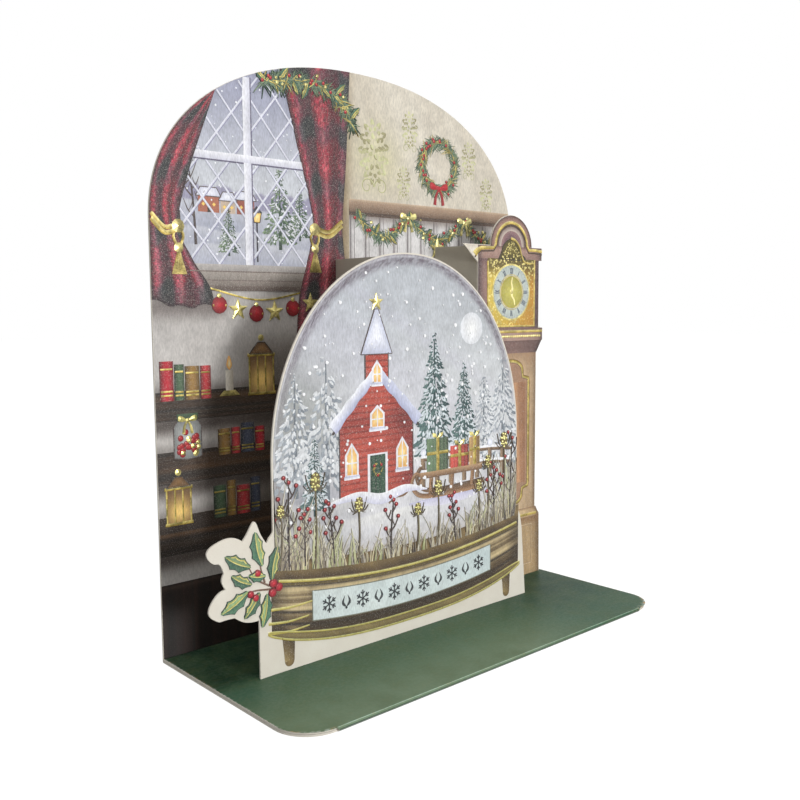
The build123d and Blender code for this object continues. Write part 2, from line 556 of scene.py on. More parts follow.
class Picture(PrintedFace):
    """Printed face with the small things that are drawn on it again and again."""

    def gilt(self, paths: Array, widths: Array | float, layer: float) -> None:
        """Foil strokes with a painted highlight along their left edge and painted shade along the right one.
        """
        self.ribbons(paths, widths, self.gold, layer, self.gold * GILT_SHADED_EDGE, finish=Finish.FOIL)

    def dots(self, centres: Point, radii: Array | float, ink: Colour, layer: float,
             heart: Colour | None = None, corners: int = 12, grain: float = 0.2, **looks: object) -> None:
        """Round plates: each centre plus its radius times the unit circle.

        Args:
            centres: Middles, (n, 2) or (2,).
            radii: Radius of each plate, or of all.
            ink: Colour of the rims.
            layer: Print layer.
            heart: Colour of the middles.
            corners: Corners of each plate.
            grain: How much grain shows.
            looks: The crown and the finish, as fans takes them.
        """
        centres = np.atleast_2d(np.asarray(centres, float))
        radii = np.broadcast_to(np.asarray(radii, float), len(centres))
        rings = centres[:, None] + arc((0, 0), 1, 0, 360, corners + 1)[:-1] * radii[:, None, None]
        self.fans(rings, centres, ink, layer, heart, grain=grain, **looks)

    def gilt_dots(self, centres: Point, radii: Array | float, layer: float, crown: float = 0.2,
                  corners: int = 10) -> None:
        """Foil beads."""
        self.dots(centres, radii, self.gold, layer, crown=crown, corners=corners, finish=Finish.FOIL)

    def shape(self, knots: list | Array, ink: Colour, layer: float, heart: Colour | None = None,
              edge: Colour | None = None, smooth: bool = False, grain: float = 0.35) -> None:
        """Plate inside a closed outline.

        Args:
            knots: Corners of the outline.
            ink: Colour at the outline.
            layer: Print layer.
            heart: Colour of the middle.
            edge: Colour of the pencil line round it, which is left out without one.
            smooth: Whether the outline runs smoothly through the corners.
            grain: How much grain shows.
        """
        knots = np.asarray(knots, float)
        closed = np.vstack([knots, knots[:1]])
        closed = curve(closed, 6 * len(closed)) if smooth else closed
        self.fans(closed[:-1], closed[:-1].mean(0), ink, layer, heart, grain=grain)
        if edge is not None:
            sides = np.stack([closed[:-1], closed[1:]], 1)
            self.ribbons(curve(closed, 60) if smooth else sides, 0.26, edge, layer + 2, grain=0.8)

    def needles(self, path: Array, reach: float, count: int, seed: int, layer: float,
                inks: tuple[Array, Array] | None = (PINE, PINE_LIGHT), spread: float = 1.2,
                width: float = 0.36) -> None:
        """Pine needles: short strokes that start on a path and sag as the square of their length.

        Args:
            path: Where they start.
            reach: Length of the longest.
            count: How many there are.
            seed: Seed of where and how they lie.
            layer: Print layer.
            inks: Dark and light colour; foil without them.
            spread: How far they fan out about the path's direction, in radians.
            width: Width at the root.
        """
        rng = np.random.default_rng(seed)
        at = rng.uniform(0, len(path) - 1.001, count)
        index = at.astype(int)
        along = path[index + 1] - path[index]
        root = path[index] + along * (at - index)[:, None]
        angle = np.arctan2(along[:, 1], along[:, 0]) + rng.uniform(-spread, spread, count)
        angle += math.pi * (rng.random(count) < 0.25)
        length = reach * rng.uniform(0.5, 1, count)
        sag = np.stack([np.zeros(count), -0.18 * length], -1)
        t = shares(3)
        paths = root[:, None] + (aimed(angle) * length[:, None])[:, None] * t + sag[:, None] * t * t
        widths = width * (1 - 0.85 * t[..., 0] ** 2)
        if inks is None:
            self.gilt(paths, widths, layer)
        else:
            self.ribbons(paths, widths, blend(*inks, rng.random(count) ** 1.4)[:, None], layer)

    def berries(self, centres: Point, radius: float, layer: float, ink: Array = BERRY) -> None:
        """Round fruit with a darker rim and a small light."""
        self.dots(centres, radius, ink * 0.68, layer, ink * 1.15, crown=radius * 0.12)
        lights = np.add(centres, np.multiply((-0.25, 0.32), radius))
        self.dots(lights, radius * 0.3, BERRY_LIGHT, layer + 3, corners=8)

    def star(self, centre: Point, radius: float, layer: float) -> None:
        """Foil star whose ridges run from the middle to its five points and its notches."""
        reach = radius * np.tile([1, 0.42], 5)[:, None]
        points = centre + arc((0, 0), 1, 90, 450, 11)[:-1] * reach
        self.fans(points, centre, self.gold, layer, crown=0.35, finish=Finish.FOIL)

    def holly_leaf(self, foot: Point, tip: Point, width: float, layer: float, dim: float = 1.0) -> None:
        """Holly leaf: a lens whose edge is drawn out to points, in a dark and a light half, with foil ribs.

        The half width at a share t of the length is the sine of πt, less a scallop that is the
        absolute sine of the number of spikes times πt.

        Args:
            foot: Where it starts.
            tip: Where it ends.
            width: Width.
            layer: Print layer.
            dim: Factor on its colours.
        """
        spikes = 3
        foot, tip = np.array(foot, float), np.array(tip, float)
        along = tip - foot
        across = np.array([-along[1], along[0]]) / np.linalg.norm(along)
        t = np.linspace(0, 1, 8 * spikes + 1)
        scallop = 1 - 0.3 * np.abs(np.sin(math.pi * t * spikes)) ** 0.8
        half = width / 2 * np.sin(math.pi * t) ** 0.75 * scallop
        middle = foot + along * t[:, None] + across * (0.1 * width * np.sin(math.pi * t))[:, None]
        streak = 0.5 + 0.5 * np.sin(t * 40)
        for sign, near, far in ((1, LEAF, (96, 136, 108)), (-1, LEAF_LIGHT, (108, 146, 112))):
            edge = middle + across * (sign * half)[:, None]
            shade = np.stack([blend(near, far, 0.35 * streak), blend(far, near, 0.35 * streak)]) * dim
            self.patch(np.stack([middle, edge]), shade, layer, grain=0.45)
            self.ribbons(edge[1:-1], 0.2, (40, 62, 52), layer + 2, grain=0.7)
        self.gilt(middle[1:-1], 0.3 * np.sin(math.pi * t[1:-1]) + 0.06, layer + 4)
        part = slice(len(t) // 5, 4 * len(t) // 5)
        self.gilt(middle[part] - across * (0.7 * half[part])[:, None], 0.34, layer + 4)

    def fir(self, foot: Point, tall: float, seed: int, kind: FirKind) -> None:
        """Fir tree of drooping dabs with snow dabs on their upper sides.

        A dab hangs at a distance from the top that is a root of a random number, so that they lie
        evenly. The half width there grows with the distance, and once more within each tier.

        Args:
            foot: Foot of the trunk.
            tall: Height.
            seed: Seed of the dabs.
            kind: How it is drawn.
        """
        rng, dabs, size = np.random.default_rng(seed), kind.dabs, kind.size * tall
        self.ribbons(line(*foot, foot[0], foot[1] + 0.94 * tall, 4), np.linspace(0.045, 0.006, 4) * tall,
                     kind.inks[0] * 0.9, kind.layer)
        down = 0.02 + 0.9 * rng.random(dabs) ** 0.62
        half = tall * kind.wide / 2 * (0.06 + 0.94 * down) * (0.62 + 0.38 * (down * kind.tiers % 1))
        aim = rng.uniform(-1, 1, dabs)
        start = np.stack([foot[0] + 0.85 * aim * half, foot[1] + (1 - down) * tall], -1)
        length = 0.07 * size * rng.uniform(0.6, 1.2, dabs) * (0.5 + 0.5 * np.abs(aim)) * (0.4 + 0.7 * down)
        lean = np.arctan2(-0.9 + 0.4 * np.abs(aim), aim * 1.1) + rng.normal(0, 0.35, dabs)
        paths = start[:, None] + (aimed(lean) * length[:, None])[:, None] * (shares(3) - 0.3)
        widths = 0.036 * size * (0.35 + 0.65 * down)[:, None] * np.array([0.55, 1, 0.3])
        light = 0.45 - 0.35 * aim + rng.normal(0, 0.25, dabs)
        self.ribbons(paths, widths, blend(*kind.inks, light)[:, None], kind.layer + 1, grain=0.6)
        pick = rng.random(dabs) < kind.snowy
        shade = blend(kind.snow, kind.snow * 0.88, rng.random(int(pick.sum())))[:, None]
        self.ribbons(paths[pick] + [0, 0.016 * size], widths[pick] * 0.7, shade, kind.layer + 2.5, grain=0.25)

    def bow(self, centre: Point, size: float, layer: float, ink: Array | None = None) -> None:
        """Ribbon bow: two loops, two tails and a knot.

        Args:
            centre: Middle of the knot.
            size: Length of a loop.
            layer: Print layer.
            ink: Its colour; foil without one.
        """
        finish, ink = (Finish.FOIL, self.gold) if ink is None else (Finish.INK, ink)
        middle = np.array(centre)
        for side in (1, -1):
            loop = [(0, 0), (0.55, 0.42), (1, 0.5), (1.08, 0.05), (0.6, -0.12), (0, 0)]
            loop = np.array(loop) * [side, 1] * size
            self.fans(curve(loop + middle, 22)[:-1], loop[1:5].mean(0) + middle, ink, layer, ink * 1.15, 0.3,
                      finish=finish)
            tail = curve(np.array([(0, 0), (0.35 * side, -0.6), (0.5 * side, -1.4)]) * size + middle, 8)
            self.ribbons(tail, np.linspace(0.18, 0.34, 8) * size, ink, layer, ink * 0.8, finish=finish)
        self.dots(middle, 0.24 * size, ink, layer + 2, crown=0.25, finish=finish)

    def twig(self, foot: Array, tall: float, seed: int, layer: float, shoots: int, width: float,
             fruit: float = 0.0) -> None:
        """Dark twig with side shoots.

        Args:
            foot: Foot of the stem.
            tall: Height.
            seed: Seed of its lean and its shoots.
            layer: Print layer.
            shoots: How many shoots it has.
            width: Width at the foot.
            fruit: Radius of the red fruit on its tips, none at 0.
        """
        rng = np.random.default_rng(seed)
        lean = rng.uniform(-0.12, 0.12) * tall
        stem = curve([foot, foot + [0.3 * lean, tall * 0.5], foot + [lean, tall]], 24)
        self.ribbons(stem, np.linspace(width, 0.15, 24), (66, 56, 54), layer, grain=0.6)
        tips = [stem[-1]]
        for number, index in enumerate(np.linspace(7, 22, shoots).astype(int)):
            side = 1 if number % 2 else -1
            reach = rng.uniform(0.13, 0.24) * tall * (1.25 - index / 26)
            bend = [(0, 0), (side * reach * 0.6, reach * 0.6), (side * reach, reach * 1.5)]
            shoot = stem[index] + curve(bend, 8)
            fork = shoot[3] + (shoot[:6] - shoot[0]) * [-0.5, 0.9]
            self.ribbons(shoot, np.linspace(0.55 * width, 0.12, 8), (84, 72, 66), layer, grain=0.6)
            self.ribbons(fork, 0.18, (96, 84, 78), layer, grain=0.6)
            tips.append(shoot[-1])
        if fruit:
            self.berries(np.array(tips), fruit, layer + 1, tone(150, 42, 48))


class Nodes:
    """Small builder for the nodes of a material or the world."""

    def __init__(self, owner: Material | bpy.types.World) -> None:
        """Starts the owner's nodes."""
        owner.use_nodes = True
        self.owner, self.tree = owner, owner.node_tree

    def join(self, value: object, target: Socket) -> None:
        """Gives an input its value.

        Args:
            value: Another node's output, a display colour as an array, or plain numbers.
            target: The input.
        """
        if isinstance(value, Socket):
            self.tree.links.new(value, target)
        else:
            target.default_value = (*linear(value), 1) if isinstance(value, np.ndarray) else value

    def put(self, kind: str, result: str | int, inputs: dict[str | int, object],
            **settings: object) -> Socket:
        """Adds a shader node.

        Args:
            kind: Its type.
            result: Which of its outputs is wanted.
            inputs: Values for its inputs.
            settings: Its properties.

        Returns:
            The output.
        """
        node = self.tree.nodes.new(f"ShaderNode{kind}")
        for key, value in settings.items():
            setattr(node, key, value)
        for name, value in inputs.items():
            self.join(value, node.inputs[name])
        return node.outputs[result]

    def attribute(self) -> tuple[Socket, Socket]:
        """Colour and alpha of the point attribute that the pieces carry."""
        outputs = self.put("Attribute", "Color", {}, attribute_name="ink").node.outputs
        return outputs["Color"], outputs["Alpha"]

    def noise(self, size: float, detail: float = 2.0, tall: float = 1.0) -> Socket:
        """Noise in Object coordinates, 0 to 1, with grains of a size in mm, drawn out upwards by tall."""
        own = self.put("TexCoord", "Object", {})
        place = self.put("Mapping", "Vector", {"Vector": own, "Scale": (1, 1, 1 / tall)})
        return self.put("TexNoise", "Fac", {"Vector": place, "Scale": 1 / (size * MM), "Detail": detail})

    def span(self, value: Socket, low: float, high: float, to_low: float, to_high: float) -> Socket:
        """Value from one span carried over to another and held within it."""
        names = ("Value", "From Min", "From Max", "To Min", "To Max")
        return self.put("MapRange", "Result", dict(zip(names, (value, low, high, to_low, to_high))))

    def math(self, operation: str, first: object, second: object) -> Socket:
        """Result of working with two values."""
        return self.put("Math", "Value", {0: first, 1: second}, operation=operation)

    def mix(self, share: object, first: object, second: object, way: str = "MIX") -> Socket:
        """Mix of two colours by a share that is a socket or a number."""
        return self.put("Mix", 2, {0: share, 6: first, 7: second}, data_type="RGBA", blend_type=way)

    def shaded(self, colour: Socket, value: Socket) -> Socket:
        """Colour times a value."""
        grey = self.put("CombineXYZ", "Vector", dict.fromkeys("XYZ", value))
        return self.mix(1, colour, grey, "MULTIPLY")

    def finish(self, colour: object, roughness: object, height: Socket, depth: float, metallic: float = 0.0,
               **more: float) -> Material:
        """Joins the inputs of the material's shader.

        Args:
            colour: Its colour.
            roughness: Its roughness.
            height: What bumps it.
            depth: How deep the bumps are, in mm.
            metallic: How metallic it is.
            more: Further inputs, with an underscore for each space.

        Returns:
            The material.
        """
        bump = self.put("Bump", "Normal", {"Height": height, "Strength": 0.5, "Distance": depth * MM})
        inputs = {"Base_Color": colour, "Roughness": roughness, "Metallic": metallic, "Normal": bump, **more}
        for name, value in inputs.items():
            self.join(value, self.tree.nodes["Principled BSDF"].inputs[name.replace("_", " ")])
        return self.owner


@dataclass(frozen=True)
class PrintInk:
    """Matt ink on toothed card: its colour is the attribute's, mottled, with pale flecks of paper."""

    name: str = "printed_ink"
    mottle: float = 0.10
    fleck: float = 0.55

    def material(self) -> Material:
        """Builds the material.

        Returns:
            The material.
        """
        nodes = Nodes(bpy.data.materials.new(self.name))
        ink, grain = nodes.attribute()
        low, high = 1 - self.mottle, 1 + self.mottle
        cloud = nodes.span(nodes.noise(5, 3), 0.3, 0.7, low, high)
        pencil = nodes.span(nodes.noise(0.34, 3, 3.5), 0.34, 0.66, low - 0.03, high + 0.03)
        colour = nodes.shaded(ink, nodes.math("MULTIPLY", cloud, pencil))
        tooth = nodes.noise(0.28)
        paper = nodes.math("MULTIPLY", nodes.span(tooth, 0.54, 0.72, 0, self.fleck), grain)
        return nodes.finish(nodes.mix(paper, colour, tone(214, 208, 200)), 0.58, tooth, 0.02)


@dataclass(frozen=True)
class GoldFoil:
    """Hot-stamped foil with painted reflections: its gold is painted into dark olive patches and bright ones,
    with fine specks, over a crinkled bump.
    """

    name: str = "gold_foil"
    dark: float = 0.5
    bright: float = 1.14
    metal: float = 0.6

    def material(self) -> Material:
        """Builds the material.

        Returns:
            The material.
        """
        nodes = Nodes(bpy.data.materials.new(self.name))
        gold, wear_and_reflection = nodes.attribute()
        # Painted reflection: patches and specks make the gold darker and brighter, as reflections on crinkled
        # foil do.
        patches = nodes.span(nodes.noise(2.6, 3), 0.40, 0.60, self.dark, self.bright)
        specks = nodes.span(nodes.noise(0.4), 0.32, 0.56, 0.7, 1.04)
        crinkle = nodes.noise(0.7, 3)
        colour = nodes.mix(wear_and_reflection, gold, nodes.shaded(gold, nodes.math("MULTIPLY", patches, specks)))
        return nodes.finish(colour, nodes.span(crinkle, 0.3, 0.7, 0.26, 0.42), crinkle, 0.014, self.metal)


@dataclass(frozen=True)
class CardStock:
    """Uncoated card: pale board with fibres and a felt tooth."""

    name: str
    colour: Triple
    shade: Triple

    def material(self) -> Material:
        """Builds the material.

        Returns:
            The material.
        """
        nodes = Nodes(bpy.data.materials.new(self.name))
        fibre, shade = nodes.noise(0.5, 4), tone(*self.shade)
        colour = nodes.mix(nodes.span(nodes.noise(7), 0.3, 0.7, 0, 0.5), tone(*self.colour), shade)
        return nodes.finish(nodes.mix(nodes.span(fibre, 0.55, 0.8, 0, 0.6), colour, shade), 0.78, fibre, 0.03)


@dataclass(frozen=True)
class SatinCoat:
    """Green print with a satin coat, a little cloudy, scuffed pale along the cut edges and the fold."""

    name: str = "green_coat"
    sheen: float = 0.12

    def material(self) -> Material:
        """Builds the material; the attribute gives the colour and, in its alpha, how scuffed it is.

        Returns:
            The material.
        """
        nodes = Nodes(bpy.data.materials.new(self.name))
        green, rubbed = nodes.attribute()
        colour = nodes.mix(nodes.span(nodes.noise(9, 4), 0.35, 0.65, 0, 0.35), green, tone(82, 100, 68))
        scuff = nodes.math("MULTIPLY", nodes.span(nodes.noise(1.1, 4), 0.42, 0.6, 0, 1), rubbed)
        spots = nodes.span(nodes.noise(2.3), 0.5, 0.62, 0, 1)
        colour = nodes.mix(scuff, colour, nodes.mix(spots, tone(202, 208, 196), tone(206, 164, 112)))
        fine = nodes.noise(0.35, 3)
        roughness = nodes.span(fine, 0.3, 0.7, 0.38, 0.54)
        return nodes.finish(colour, roughness, fine, 0.02, Specular_IOR_Level=self.sheen)


@dataclass(kw_only=True)
class Wall(Picture):
    """Plaster on the left, patterned paper on the right, and white boarding under a brown rail.

    A medallion has a middle and a half height. A ring of its leaves has a count, a half width, a half
    height and the length of a leaf, as shares of that.
    """

    name: str = "room_wall"
    medallions: Table = ((6.5, 155.5, 11.5), (23, 165, 6.5), (20, 147, 5.5), (52.5, 158, 6.5), (62, 146, 6))
    rings: Table = ((26, 0.42, 0.78, 0.2), (30, 0.32, 0.62, 0.14), (18, 0.19, 0.38, 0.19),
                    (8, 0.06, 0.08, 0.17))
    left: float = -4.5
    low: float = 80.0
    pitch: float = 6.4
    rail: float = 137.5

    def paper_ink(self, x: Array, z: Array) -> Array:
        """Colours of the plaster and the paper, smudged under what stands out, and darker in a painted shadow
        of the globe panel.

        Args:
            x: Places across.
            z: Heights.

        Returns:
            Their colours.
        """
        plaster = blend((206, 202, 197), (168, 163, 159), 0.4 + 0.4 * waves(x * 0.5 + z, 3, 5))
        sheet = blend((214, 207, 192), (190, 179, 160), 0.35 + 0.4 * waves(x + 0.4 * z, 4, 5))
        smudges = (((58, 49, 44), 0.88 * bell(z, low - 1, 3.2) + 0.4 * bell(z, high, 2.2))
                   for low, high in self.plan.shelves)
        return washed(plaster, (sheet, ease(x, -9, -5) * ease(z, 80, 84)),
                      ((122, 100, 66), 0.95 * bell(x, -8.5, 4.2) * ease(z, 98, 110)),
                      ((206, 202, 150), 0.5 * bell(np.hypot(x - 8, z - 153), 0, 10)),
                      # Painted shadow: darker low down behind the globe panel, where its shadow falls on the
                      # back panel.
                      ((66, 58, 50), 0.66 * ease(x, -54, -36) * ease(100 - z, 0, 14) * ease(-4 - x, 0, 8)),
                      ((92, 82, 78), 0.7 * bell(z, 104, 3.5) * ease(-52 - x, -4, 4)), *smudges)

    def damask(self, x: float, z: float, size: float) -> None:
        """Medallion of the paper: rings of small leaves that stand out from ovals, and a pair of scrolls.

        A leaf's foot lies at (a cos u, b sin u), it points along (b cos u, a sin u), which is square to
        the oval, and it leans to the left and the right in turn.

        Args:
            x: Middle across.
            z: Height of the middle.
            size: Half height of the largest oval and its leaves.
        """
        middle, pale, deep = np.array([x, z]), (206, 206, 158), (150, 144, 106)
        leaves, shade = [], []
        for count, wide, tall, reach in self.rings:
            u = np.linspace(0, 2 * math.pi, count, endpoint=False) + 0.1
            angle = np.arctan2(wide * np.sin(u), tall * np.cos(u)) + 0.5 * (-1) ** np.arange(count)
            leaves.append((aimed(u) * [wide, tall])[:, None] + (reach * aimed(angle))[:, None] * shares(5))
            shade.append(blend(pale, deep, 0.5 + 0.5 * np.sin(3 * u)))
        leaves, shade = middle + size * np.concatenate(leaves), np.concatenate(shade)[:, None]
        self.ribbons(leaves, np.array([0.02, 0.075, 0.085, 0.06, 0.01]) * size, shade, 2, grain=0.8)
        turn = np.linspace(0, 8, 24)
        for way in (1, -1):
            scroll = middle + np.array([0.27 * way, -1]) * size
            scroll = scroll + aimed(turn) * [-way, 1] * (0.26 * size * (1 - 0.1 * turn))[:, None]
            self.ribbons(scroll, np.linspace(0.05, 0.02, 24) * size, deep, 2, pale, grain=0.7)

    def board_ink(self, x: Array, z: Array) -> Array:
        """Colours of the boarding, darker along its seams and under the rail."""
        ink = blend((224, 222, 220), (194, 191, 190), 0.5 + 0.5 * waves(x * 0.6 + z * 0.1, 71, 5))
        return washed(ink, ((150, 144, 144), 0.8 * bell((x - self.left) % self.pitch, 0.6, 0.6)),
                      ((120, 108, 100), 0.75 * bell(z, self.rail - 3, 2.2)))

    def draw(self) -> None:
        """Paper, medallions, boarding and rail."""
        edge, rail = self.plan.half, self.rail
        self.patch(self.plan.field(self.plan.columns(150), 190, self.plan.low), self.paper_ink, 1, grain=0.45)
        for medallion in self.medallions:
            self.damask(*medallion)
        self.patch(box_grid(self.left, edge, self.low, rail - 1, 0.7), self.board_ink, 3, grain=0.3)
        for x in np.arange(self.left + 0.5, edge, self.pitch):
            for shift, shade in ((0, (104, 96, 96)), (1.6, (132, 124, 124))):
                self.ribbons(line(x + shift, self.low, x + shift, rail - 2.5), 0.28, shade, 4, grain=0.7)
        for z, width, light, shade in ((rail + 1.4, 0.9, (196, 172, 146), (160, 136, 112)),
                                       (rail - 0.6, 3.4, (168, 142, 118), (98, 76, 60)),
                                       (rail - 2.9, 1.2, (66, 50, 40), (88, 70, 58))):
            self.ribbons(line(self.left, z, edge, z, 40), width, light, 5, shade, grain=0.7)


@dataclass(kw_only=True)
class Window(Picture):
    """Leaded window: snowy hills with cottages, firs and a street lamp behind white bars, and the sill.

    A cottage has a left side, a width, a height and a colour, and a tree a foot, a height and a seed. A
    step of the sill has a drop below its top, a width, a colour and a layer.
    """

    name: str = "room_window"
    plates: int = 10000
    cottage_foot: float = 131.5
    cottages: Table = ((-60.5, 7, 4.6, (168, 104, 82)), (-53, 5, 3.6, (190, 170, 150)),
                       (-47.5, 6.2, 4.2, (150, 86, 70)))
    trees: Table = ((-32, 121.5, 26, 21), (-24.5, 124.5, 17, 22), (-50.5, 119, 15, 23))
    firs: FirKind = FirKind(0.72, 5, (PINE, PINE_LIGHT), SNOW, 420, 0.22, 0.9, 6)
    pitch: float = 12.7
    slope: float = 1.22
    steps: Table = ((0, 2, (178, 172, 167), 13), (2.4, 2.6, (158, 149, 140), 13),
                    (4.6, 1.8, (140, 129, 120), 13), (6.2, 1.4, (104, 90, 82), 13),
                    (1.1, 0.35, (126, 112, 104), 14), (3.7, 0.35, (126, 112, 104), 14),
                    (5.4, 0.3, (126, 112, 104), 14))

    def view_ink(self, x: Array, z: Array) -> Array:
        """Colours of a lavender sky, distant woods and three snowy hills.

        Args:
            x: Places across.
            z: Heights.

        Returns:
            Their colours.
        """
        ink = blend((199, 202, 207), (152, 154, 174), ease(z + 2 * waves(x, 11, 5), 136, 176))
        ink = blend(ink, (138, 134, 160), 0.8 * ease(138.5 + 2.6 * waves(x, 5, 2.2) - z, -0.6, 0.6))
        for top, seed in ((134, 6), (128, 7), (121, 8)):
            depth = top + 3.5 * waves(x, seed, 14) - z
            snow = blend(SNOW * 0.88, SNOW_SHADE * 0.84, 0.3 + 0.09 * depth + 0.2 * waves(x + 2 * z, seed, 4))
            ink = blend(ink, snow, ease(depth, -0.3, 0.3))
        return ink

    def view(self) -> None:
        """Hills, cottages with lit panes, firs, bare trees, a street lamp and snowflakes."""
        sill, base = self.plan.sill, self.cottage_foot
        self.patch(self.plan.field(np.linspace(-74.5, -12, 124), 124, sill), self.view_ink, 2)
        for x, wide, tall, wall in self.cottages:
            right, eaves = x + wide, base + tall
            self.patch(box_grid(x, right, base, eaves), wall, 3)
            ridge = eaves + 2.6
            roof = [(x - 0.7, eaves), (right + 0.7, eaves), (right - 0.8, ridge), (x + 0.8, ridge)]
            self.shape(roof, (206, 208, 222), 4, (236, 236, 242), PENCIL)
            panes = [(x + wide * part, base + tall * 0.5) for part in (0.25, 0.75)]
            self.dots(panes, 0.6, (244, 206, 112), 5, corners=4)
            self.patch(box_grid(x + wide * 0.44, x + wide * 0.58, base, base + 2.2), OAK_DARK, 5)
        for x, z, tall, seed in self.trees:
            self.fir((x, z), tall, seed, self.firs)
        for x, tall, seed in ((-66.5, 38, 24), (-61.5, 26, 25)):
            self.twig(np.array([x, 122]), tall, seed, 6, 7, 0.9)
        self.ribbons(line(-40.5, 117.5, -40.5, 129.5), 0.55, (50, 48, 58), 6)
        self.shape([(-41.5, 129.4), (-39.5, 129.4), (-38.9, 132.4), (-42.1, 132.4)], (240, 196, 100), 7,
                   (255, 236, 170), SOOT)
        self.shape([(-42.5, 132.4), (-38.5, 132.4), (-40.5, 134.4)], (50, 48, 58), 8)
        flakes = np.random.default_rng(9).uniform((-72, sill + 1), (-16, 174), (130, 2))
        self.dots(flakes, np.linspace(0.12, 0.36, 130), (246, 247, 250), 8, corners=7, grain=0)

    def draw(self) -> None:
        """View, diamond leading, mullion, transom and moulded sill, each bar with a shade line."""
        self.view()
        sill, span = self.plan.sill, 61
        for rise in (self.slope * span, -self.slope * span):
            for step in range(-8, 12):
                start = 142 + step * self.pitch - rise / 2
                path = self.plan.within(line(-74, start, span - 74, start + rise, 200), sill)
                if len(path) > 1:
                    self.ribbons(path + [0.42, -0.1], 0.3, (140, 138, 168), 9)
                    self.ribbons(path, 0.6, (232, 233, 240), 10, (204, 205, 218), grain=0.2)
        for ends, width, shift in (((-43.5, sill, -43.5, 176), 2.6, (0.56, 0)),
                                   ((-74, 148, -14, 148), 2.2, (0, -0.56))):
            path = self.plan.within(line(*ends, 200), sill)
            self.ribbons(path + np.multiply(shift, width), 0.55, (96, 92, 116), 11, grain=0.8)
            self.ribbons(path, width, (238, 238, 242), 12, (206, 206, 218), grain=0.3)
        for drop, width, shade, layer in self.steps:
            z = sill - drop
            self.ribbons(line(-64, z, -15, z, 30), width, shade, layer, np.multiply(shade, 0.86), grain=0.8)


@dataclass(kw_only=True)
class Drapes(Picture):
    """Two drapes of check cloth that reach up to the edge of the card, held by gold cords."""

    name: str = "room_drapes"
    plates: int = 20000
    gold: Colour = (204, 190, 128)
    sett: float = 17.0
    rows: int = 150
    columns: int = 48
    tassel: float = 7.5

    def bands(self, value: Array) -> tuple[Array, Array]:
        """Broad dark band and thin pale line of the check, once a sett."""
        phase = value % self.sett
        return ease(phase, 2, 4.4) - ease(phase, 7.6, 10), bell(phase, 13, 0.5)

    def check_cloth(self, across: Array, down: Array) -> Array:
        """Check cloth: bands in both directions, darkest where the broad ones cross.

        Args:
            across: Places across the flat cloth.
            down: Heights on it.

        Returns:
            Their colours.
        """
        (broad_a, thin_a), (broad_d, thin_d) = self.bands(across), self.bands(down)
        return washed(blend((138, 36, 52), (84, 56, 68), 0.62 * (broad_a + broad_d)),
                      ((34, 46, 46), 0.8 * broad_a * broad_d),
                      ((190, 126, 112), 0.3 * np.maximum(thin_a, thin_d)))

    def drape(self, left: Array, right: Array, cloth: float, folds: float, seed: int) -> None:
        """One hanging drape, gathered into folds whose crests catch the light.

        Args:
            left: Left edge, from the hem up.
            right: Right edge, from the hem up, with as many points.
            cloth: Width of the flat cloth, which sets how often the check repeats.
            folds: How many folds there are.
            seed: Seed of the folds' irregularity.
        """
        grid = grid_between(left, right, self.columns)
        top = grid[-1]
        share, up = np.linspace(0, 1, self.columns)[None, :], np.linspace(0, 1, self.rows)[:, None]
        fold = folds * share + 0.12 * waves(up * 30, seed, 6) + 0.1 * waves(share * 20, seed, 4)
        fold = np.sin(2 * math.pi * fold)
        ink = self.check_cloth(cloth * (share + 0.016 * fold), grid[..., 1] + 1.4 * fold)
        ink = blend(ink * 0.56, ink * 1.05, 0.5 + 0.5 * fold)
        shine = 0.38 * bell(up, 0.18, 0.16) + 0.16 * bell(up, 0.7, 0.2)
        ink = blend(ink, (206, 142, 150), ease(fold, 0.2, 1) * shine)
        ink = ink * np.random.default_rng(seed + 1).normal(1, 0.2, fold.shape)[..., None]
        ink = washed(ink, (ink * 0.45, (1 - ease(np.minimum(share, 1 - share), 0, 0.1)) * 0.7),
                     ((40, 26, 30), 0.8 * bell(up, 0, 0.022)))
        grid[:4, :, 1] += 0.4 * fold[:4] - 1.6 * np.sin(math.pi * share)
        grid[..., 1] += (self.plan.height(top[:, 0]) - top[:, 1]) * up**8
        self.patch(grid, ink, 14, grain=0.8)

    def tie(self, left: Point, right: Point) -> None:
        """Gold cord round a drape, with a knot and a tassel of threads.

        Args:
            left: Its end at one edge.
            right: Its knot at the other edge.
        """
        sag = [(left[0] + right[0]) / 2, min(left[1], right[1]) - 1.3]
        for rise in (0.75, -0.75):
            self.gilt(curve([left, sag, right], 14) + [0, rise], 1.3, 17)
        knot = np.array(right)
        self.gilt_dots(knot, 2, 17, 0.3)
        for turn in (-0.5, 0.5):
            self.gilt(curve([(0, 0), (3.2 * turn, -2.6), (1.2 * turn, -5.6)], 8) + knot, 0.8, 17)
        head = knot + [0, -6.2]
        self.gilt_dots(head, 1.5, 18, 0.3)
        ends = np.stack([np.linspace(-2.2, 2.2, 11), np.full(11, -self.tassel)], -1)
        self.gilt(head + ends[:, None] * shares(4), 0.4, 17)

    def draw(self) -> None:
        """The two drapes and their cords."""
        edge = np.linspace(106, 167, self.rows)
        inner = [(-56, 105), (-57.5, 110), (-63, 118), (-67, 127.5), (-63.5, 142), (-54, 167)]
        self.drape(np.stack([self.plan.side(edge, -1), edge], -1), curve(inner, self.rows), 26, 2.7, 31)
        self.tie((-75.6, 129.5), (-67.2, 127))
        sides = ([(-26.5, 94), (-25, 108), (-20.5, 123), (-19.4, 132), (-24.5, 152), (-31, 176)],
                 [(-4.6, 95), (-5.4, 109), (-7.2, 124), (-7.4, 132), (-5.6, 152), (-3.8, 179.5)])
        self.drape(*(curve(side, self.rows) for side in sides), 24, 2.4, 35)
        self.tie((-7.6, 131), (-18.8, 128.5))


